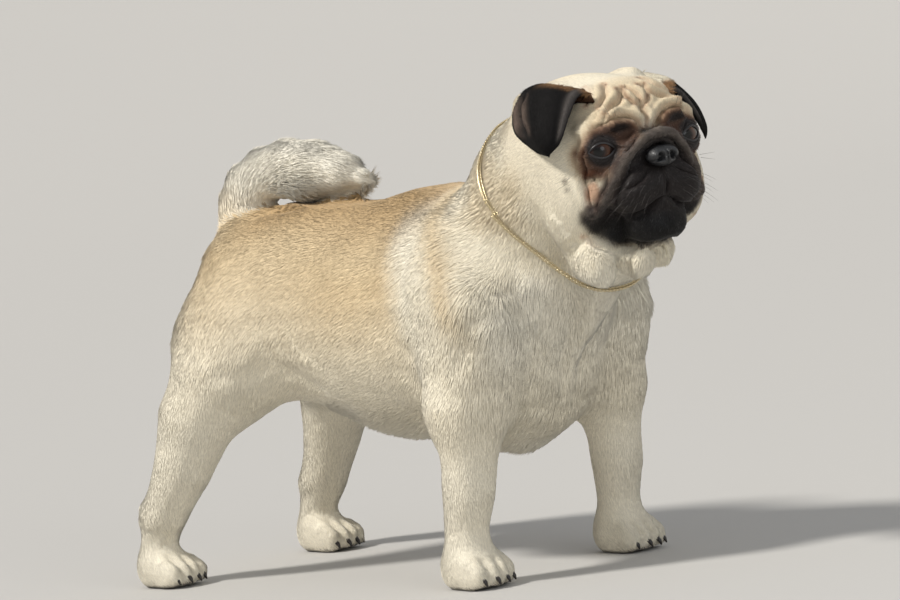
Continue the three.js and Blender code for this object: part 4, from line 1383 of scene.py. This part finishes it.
# The stiff hairs over the eye and on the moles of the cheek: a place and a way.
SHORT_WHISKERS = [
    ((58, 24, 33), (0.3, 0.3, 1)), ((57, 28, 33), (0.2, 0.5, 1)),
    ((30, 54, -8), (0.2, 1, -0.3)), ((29, 54, -6), (0.4, 1, 0)),
]

whiskers = []
for side in (1, -1):
    for row in range(3):
        for column in range(4):
            start = np.array([68 - 2.6 * column, side * (12 + 4.6 * column), -13 - 5 * row])
            out = unit(np.array([0.35 - 0.16 * column, side * (0.75 + 0.1 * column), -0.25 - 0.12 * row]))
            reach = 15 + 2.5 * column
            curve = [start + out * reach * t + np.array([0, 0, -5.0]) * t * t for t in np.linspace(0, 1, 6)]
            whiskers.append(tapered(from_head(curve), LIP_WHISKER * MM, 3))
    for start, out in SHORT_WHISKERS:
        start = np.array(start, float) * (1, side, 1)
        out = unit(np.array(out) * (1, side, 1))
        curve = [start + out * 11 * t for t in np.linspace(0, 1, 6)]
        whiskers.append(tapered(from_head(curve), SHORT_WHISKER * MM, 3))
WHISKER_FINISH = plain_material("stiff_whisker", (0.09, 0.08, 0.075), 0.4)
placed("whiskers", joined("whiskers", whiskers), WHISKER_FINISH)


# Collar


def metal_material():
    n = Nodes("worn_gilt_chain")
    fine = n.noise(700, 3, 0.6)
    shade = n.add("ShaderNodeMix")
    shade.data_type = "RGBA"
    n.tree.links.new(fine, shade.inputs["Factor"])
    shade.inputs["A"].default_value = (0.62, 0.50, 0.27, 1)
    shade.inputs["B"].default_value = (0.78, 0.70, 0.52, 1)
    n.link(shade.outputs["Result"], "Base Color")
    n.link(n.span(fine, 0.2, 0.4), "Roughness")
    n.set(Metallic=1.0)
    return n.material


def collar_line():
    """The middle line of the collar's solid, as points around its loop."""
    bm = merged(["collar"])
    verts = np.array([v.co[:] for v in bm.verts])
    bm.free()
    middle = verts.mean(0)
    flat = np.linalg.svd(verts - middle, full_matrices=False)[2]
    turn = np.arctan2((verts - middle) @ flat[1], (verts - middle) @ flat[0])
    bins = np.floor((turn + np.pi) / (2 * np.pi) * 40).astype(int) % 40
    line = np.array([verts[bins == k].mean(0) for k in range(40) if (bins == k).any()])
    return line, middle


LINK_PITCH = 1.35 * MM
LINK_RADIUS = 1.25 * MM
WIRE_RADIUS = 0.42 * MM
LINK_SINK = 1.0 * MM
RING_RADIUS = 8 * MM
RING_WIRE = 1.3 * MM


def spun_ring(radius, wire, sides, steps):
    """A round wire ring about the origin, flat in X and Y, as a bmesh."""
    bm = bmesh.new()
    bmesh.ops.create_circle(bm, segments=sides, radius=wire)
    bmesh.ops.translate(bm, verts=bm.verts, vec=(radius, 0, 0))
    upright = Matrix.Rotation(math.pi / 2, 3, "X")
    bmesh.ops.rotate(bm, verts=bm.verts, cent=(radius, 0, 0), matrix=upright)
    section = bm.edges[:] + bm.verts[:]
    turn = 2 * math.pi
    bmesh.ops.spin(bm, geom=section, cent=(0, 0, 0), axis=(0, 0, 1), angle=turn, steps=steps, use_merge=True)
    bmesh.ops.remove_doubles(bm, verts=bm.verts, dist=1e-6)
    bmesh.ops.recalc_face_normals(bm, faces=bm.faces)
    return bm


def chain_mesh():
    """Small flat links, each turned a quarter from the last, set close along the collar's line."""
    line, middle = collar_line()
    closed = np.vstack([line[-2:], line, line[:3]])
    smooth = rounded(closed, 1600)
    a = np.argmin(np.linalg.norm(smooth[:800] - line[0], axis=1))
    b = 800 + np.argmin(np.linalg.norm(smooth[800:] - line[0], axis=1))
    loop = smooth[a:b]
    steps = np.concatenate([[0], np.cumsum(np.linalg.norm(np.diff(loop, axis=0), axis=1))])
    total = steps[-1]
    count = int(total / LINK_PITCH) // 2 * 2
    marks = np.arange(count) * total / count
    spots = np.stack([np.interp(marks, steps, loop[:, k]) for k in range(3)], 1)
    link = mesh_from(spun_ring(LINK_RADIUS, WIRE_RADIUS, 5, 10), "link")
    shape = coords_of(link)
    faces = [list(p.vertices) for p in link.polygons]
    bm = bmesh.new()
    for k in range(count):
        along = unit(spots[(k + 1) % count] - spots[k - 1])
        out = unit(spots[k] - middle)
        out = unit(out - along * (out @ along))
        beside = np.cross(along, out)
        lean = math.radians(45 if k % 2 else -45)
        across = out * math.cos(lean) + beside * math.sin(lean)
        axes = np.array([along * 1.15, across * 1.12, np.cross(along, across)])
        new = [bm.verts.new(q) for q in shape @ axes + spots[k] - out * LINK_SINK]
        for f in faces:
            bm.faces.new([new[i] for i in f])
    bmesh.ops.recalc_face_normals(bm, faces=bm.faces)
    return mesh_from(bm, "collar_chain")


def ring_mesh():
    bm = merged(["collar_ring"])
    verts = np.array([v.co[:] for v in bm.verts])
    bm.free()
    middle = verts.mean(0)
    axes = np.linalg.svd(verts - middle, full_matrices=False)[2]
    mesh = mesh_from(spun_ring(RING_RADIUS, RING_WIRE, 12, 48), "collar_end_ring")
    turn = np.array([axes[0], axes[1], np.cross(axes[0], axes[1])])
    set_coords(mesh, coords_of(mesh) @ turn + middle)
    face_outwards(mesh)
    return mesh


METAL = metal_material()
chain_piece = placed("collar_chain", chain_mesh(), METAL)
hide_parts("collar")
ring_piece = placed("collar_end_ring", ring_mesh(), METAL)
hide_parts("collar_ring")


# Stage, lights and camera


def light(name, kind, power, color, way, place=(0, 0, 0)):
    data = bpy.data.lights.new(name, kind)
    data.energy = power
    data.color = color
    lamp = bpy.data.objects.new(name, data)
    bpy.context.scene.collection.objects.link(lamp)
    lamp.location = place
    lamp.rotation_mode = "QUATERNION"
    lamp.rotation_quaternion = Vector(way).to_track_quat("-Z", "Y")
    return data


FLOOR_HALF = 16
FLAT_REACH = 5

bm = bmesh.new()
bmesh.ops.create_grid(bm, x_segments=80, y_segments=80, size=FLOOR_HALF)
floor = bpy.data.objects.new("floor", mesh_from(bm, "floor"))
floor.data.materials.append(plain_material("pale_floor", (0.5, 0.49, 0.47), 0.85))
# Far behind the dog the floor sweeps up into a plain backdrop.
sweep = coords_of(floor.data)
sweep[:, 2] = 0.05 * np.maximum(np.hypot(sweep[:, 0], sweep[:, 1]) - FLAT_REACH, 0) ** 2
set_coords(floor.data, sweep)
smooth_faces(floor.data)
bpy.context.scene.collection.objects.link(floor)

world = bpy.data.worlds.new("studio")
bpy.context.scene.world = world
world.use_nodes = True
world.node_tree.nodes["Background"].inputs["Color"].default_value = (0.86, 0.88, 0.92, 1)
world.node_tree.nodes["Background"].inputs["Strength"].default_value = 0.5

SUN_WAY = (0.62, 1.15, -1.25)
FILL_PLACE = Vector((2.6, -1.0, 1.2))
DOG_MIDDLE = Vector((0.1, 0, 0.2))

light("key", "SUN", 3.4, (1.0, 0.965, 0.91), SUN_WAY).angle = math.radians(9)
fill = light("fill", "AREA", 14, (0.9, 0.95, 1.0), DOG_MIDDLE - FILL_PLACE, FILL_PLACE)
fill.shape = "DISK"
fill.size = 1.6

bpy.context.scene.view_settings.view_transform = "Standard"

AZIMUTH = math.radians(42)
ELEVATION = math.radians(4)
ROLL = math.radians(6.3)
DISTANCE = 3.4
TARGET = Vector((0.0103, 0, 0.194))
LENS = 190.4
level = math.cos(ELEVATION)
back = Vector((math.sin(AZIMUTH) * level, -math.cos(AZIMUTH) * level, math.sin(ELEVATION)))
right = Vector((math.cos(AZIMUTH), math.sin(AZIMUTH), 0))
up = back.cross(right)
tilted_right = right * math.cos(ROLL) - up * math.sin(ROLL)
tilted_up = right * math.sin(ROLL) + up * math.cos(ROLL)
camera_data = bpy.data.cameras.new("camera")
camera_data.lens = LENS
camera_data.sensor_width = 36
camera_data.clip_start = 0.1
camera_data.clip_end = 50
camera = bpy.data.objects.new("camera", camera_data)
bpy.context.scene.collection.objects.link(camera)
turn = Matrix((tilted_right, tilted_up, back)).transposed()
camera.matrix_world = Matrix.Translation(TARGET + back * DISTANCE) @ turn.to_4x4()
bpy.context.scene.camera = camera
